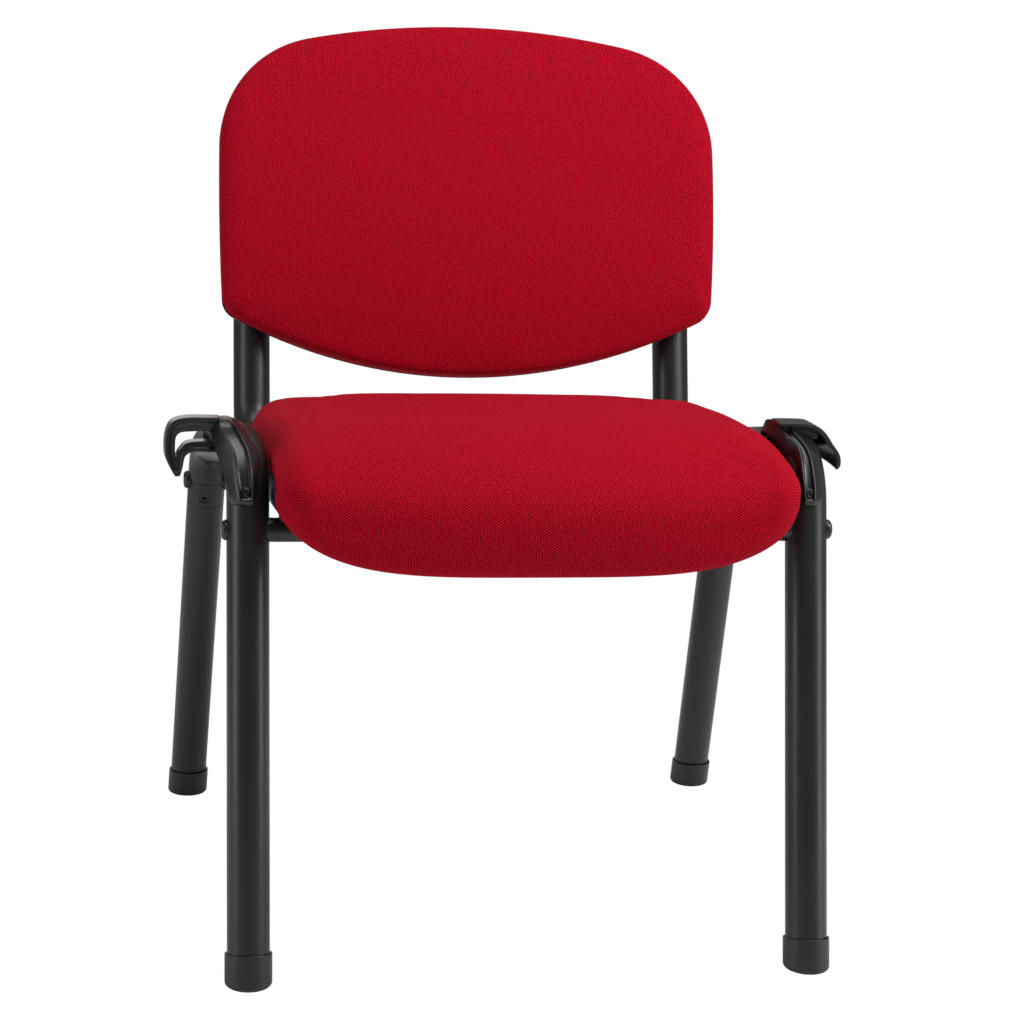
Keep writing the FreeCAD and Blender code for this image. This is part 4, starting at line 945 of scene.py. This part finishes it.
make_link("hook_link", [strap(HOOK_LINES, HOOK_CHANNEL_END), hook_arm(), hook_rib()], 1, "link_hook_right")

# %% [markdown]
# ## Link screws
# One pan-head screw with a socket holds each strap, at the lower end of its channel. A screw is a profile
# turned about its axis. Both screws are one piece, as in the frame.

# %% Make the link screws
SCREW_WAY, SCREW_SIDES = 6.5, 36
SCREW_PROFILE = [(1.3, 0.7), (1.45, 1.7), (1.9, 1.9), (2.7, 1.7), (3.2, 1.1), (3.3, 0.3), (3.3, -2),
                 (1.9, -2.2), (1.9, -12)]
SCREW_SHARP = math.radians(40)


def link_screw(lines, side):
    """A profile of (radius, rise) turned about the tube's radius in the middle of the channel."""
    middle = sum(np.interp(SCREW_WAY, *curve(line).T) for line in lines[1:3]) / 2
    turn = np.arange(SCREW_SIDES) * 2 * math.pi / SCREW_SIDES
    radius, rise = (np.array(part)[:, None] for part in zip(*SCREW_PROFILE))
    over = np.broadcast_to(RIM_HEIGHT - CHANNEL_DEPTH + rise, (len(rise), SCREW_SIDES))
    way, outward = SCREW_WAY + radius * np.cos(turn), middle + radius * np.sin(turn)
    points, faces = capped_grid(along_bend(way, outward, over))
    return side_world(points, side), faces


points, faces = join(link_screw(LOOP_LINES, -1), link_screw(HOOK_LINES, 1))
screws = make_piece("link_screw_heads", points, faces, BLACK_BOLT, "link_screws")
screws.data.set_sharp_from_angle(angle=SCREW_SHARP)

# %% [markdown]
# ## Tubes, caps and bolts
# A real edge is never quite sharp, and its fine round catches a line of light. So a copy of each solid is
# merged from its loose triangles, and a Bevel modifier rounds its edges by less than a millimetre.

# %% Rounded copies of the solids
BENT_EDGE, FLAT = math.radians(32), math.radians(0.4)
ROUNDED = {"front_foot_cap": 0.8, "rear_foot_cap": 0.8, "leg_coupling": 0.5, "back_tube": 0.4,
           "side_tube": 0.4, "rear_leg": 0.4, "crossbar": 0.4, "front_crossbar": 0.4,
           "rear_crossbar": 0.4, "back_shell": 0.6}


def dress(node, slot, width):
    """A merged copy of a node's mesh, with a bevel of a width in mm on edges that bend past BENT_EDGE."""
    mesh = NODES[node].data.copy()
    mesh.name = node + "_rounded"
    merged = bmesh.new()
    merged.from_mesh(mesh)
    bmesh.ops.remove_doubles(merged, verts=merged.verts, dist=1e-6)
    bmesh.ops.dissolve_limit(merged, angle_limit=FLAT, verts=merged.verts, edges=merged.edges)
    merged.to_mesh(mesh)
    merged.free()
    piece = show(node + "_rounded", mesh, LOOKS[slot], node)
    mesh.set_sharp_from_angle(angle=BENT_EDGE)
    edge = piece.modifiers.new("edge", "BEVEL")
    edge.width = width / MM
    edge.segments = 2
    edge.limit_method = "ANGLE"
    edge.angle_limit = BENT_EDGE
    edge.harden_normals = True


for part in frame["record"]["subparts"]:
    for start, width in ROUNDED.items():
        if part["node"].startswith(start):
            dress(part["node"], part["material_slot"], width)

# %% [markdown]
# ## Camera
# The camera stands where the photographer stood. Its place, angles and focal length come from a fit to
# the legs, feet, uprights and links. The fit counts in pixels, and the lens in mm on a 36 mm sensor.

# %% Place the camera
PICTURE, SENSOR = 1024, 36
FRONT_FOOT_Y = -0.254
YAW, PITCH, ROLL = (math.radians(a) for a in (8.9, 11.5, 1.8))
FOCAL_PIXELS = 2284.2
CAMERA_PLACE = Vector((-0.3662, -1.7461 + FRONT_FOOT_Y, 0.7522))
SHIFT_PIXELS = (75.5, -0.1)


def make_camera():
    """A camera that looks along yaw and pitch, turned about its axis by the roll."""
    ahead = Vector((math.sin(YAW) * math.cos(PITCH), math.cos(YAW) * math.cos(PITCH), -math.sin(PITCH)))
    right = Vector((math.cos(YAW), -math.sin(YAW), 0))
    up = right.cross(ahead)
    across = right * math.cos(ROLL) + up * math.sin(ROLL)
    upward = up * math.cos(ROLL) - right * math.sin(ROLL)
    lens = bpy.data.cameras.new("camera")
    lens.sensor_width = SENSOR
    lens.lens = FOCAL_PIXELS * SENSOR / PICTURE
    lens.shift_x = SHIFT_PIXELS[0] / PICTURE
    lens.shift_y = -SHIFT_PIXELS[1] / PICTURE
    camera = bpy.data.objects.new("camera", lens)
    turn = Matrix((across, upward, -ahead)).transposed().to_4x4()
    camera.matrix_world = Matrix.Translation(CAMERA_PLACE) @ turn
    bpy.context.scene.collection.objects.link(camera)
    bpy.context.scene.camera = camera
    print("lens of", round(lens.lens, 1), "mm")


make_camera()


# %% [markdown]
# ## Light
# Black tubes show their roundness only by what they mirror, so tall strips of light stand left and right of
# the chair. A small key lamp gives the cloth its relief, a wide lamp above lights the seat, and one behind
# draws the rear edges. Under a single lamp the tubes would look flat. Places and sizes are in metres.

# %% Place the lamps
def area_light(name, place, target, size, watts):
    """A rectangular lamp at a place that faces a target."""
    lamp = bpy.data.lights.new(name, "AREA")
    lamp.shape = "RECTANGLE"
    lamp.size, lamp.size_y = size
    lamp.energy = watts
    light = bpy.data.objects.new(name, lamp)
    turn = (Vector(target) - Vector(place)).to_track_quat("-Z", "Y")
    light.matrix_world = Matrix.Translation(place) @ turn.to_matrix().to_4x4()
    bpy.context.scene.collection.objects.link(light)
    print(name, "lamp of", watts, "W")


area_light("key", (0.9, -0.7, 1.35), (0.05, 0.0, 0.48), (0.5, 0.6), 11)
area_light("top", (0.2, -0.1, 2.3), (0.1, 0, 0.4), (1.3, 1.3), 21.5)
area_light("right_strip", (1.7, -0.9, 0.8), (0.1, -0.2, 0.5), (0.5, 1.8), 13)
area_light("left_strip", (-1.7, -0.55, 0.8), (-0.1, -0.1, 0.5), (0.5, 1.8), 10)
area_light("rear", (-0.5, 2.2, 1.3), (0, 0.2, 0.5), (1.6, 1.2), 9)


# %% [markdown]
# ## Floor and background
# The chair stands on white paper. Lamps strong enough to make it pure white would wash the chair out, so
# the camera sees paper and room glow, while the chair is lit by plain paper and a dim room.

# %% Make the floor and the room
FLOOR_HALF, ROOM_LIGHT = 6, 0.24


def floor_material():
    """Matt paper for light and reflections, and a white glow for the camera."""
    material, tree = new_material("white_paper")
    paper = add(tree, "BsdfDiffuse", Color=linear("#f2f2f2"))
    glow = add(tree, "Emission", Color=(1, 1, 1, 1), Strength=1.0)
    seen = add(tree, "LightPath", out="Is Camera Ray")
    add(tree, "OutputMaterial", Surface=add(tree, "MixShader", in0=seen, in1=paper, in2=glow))
    return material


def make_floor():
    """One large square of paper under the chair."""
    h = FLOOR_HALF
    mesh = bpy.data.meshes.new("floor")
    mesh.from_pydata([(-h, -h, 0), (h, -h, 0), (h, h, 0), (-h, h, 0)], [], [(0, 1, 2, 3)])
    mesh.materials.append(floor_material())
    floor = bpy.data.objects.new("floor", mesh)
    bpy.context.scene.collection.objects.link(floor)


def make_room():
    """A world that is dim for the chair and white for the camera."""
    world = bpy.data.worlds.new("studio")
    bpy.context.scene.world = world
    world.use_nodes = True
    tree = world.node_tree
    tree.nodes.clear()
    seen = add(tree, "LightPath", out="Is Camera Ray")
    strength = add(tree, "MapRange", in0=seen, in1=0.0, in2=1.0, in3=ROOM_LIGHT, in4=1.0)
    add(tree, "OutputWorld", Surface=add(tree, "Background", Color=(1, 1, 1, 1), Strength=strength))


make_floor()
make_room()
bpy.context.scene.view_settings.view_transform = "Standard"
print("room light for the chair:", ROOM_LIGHT)
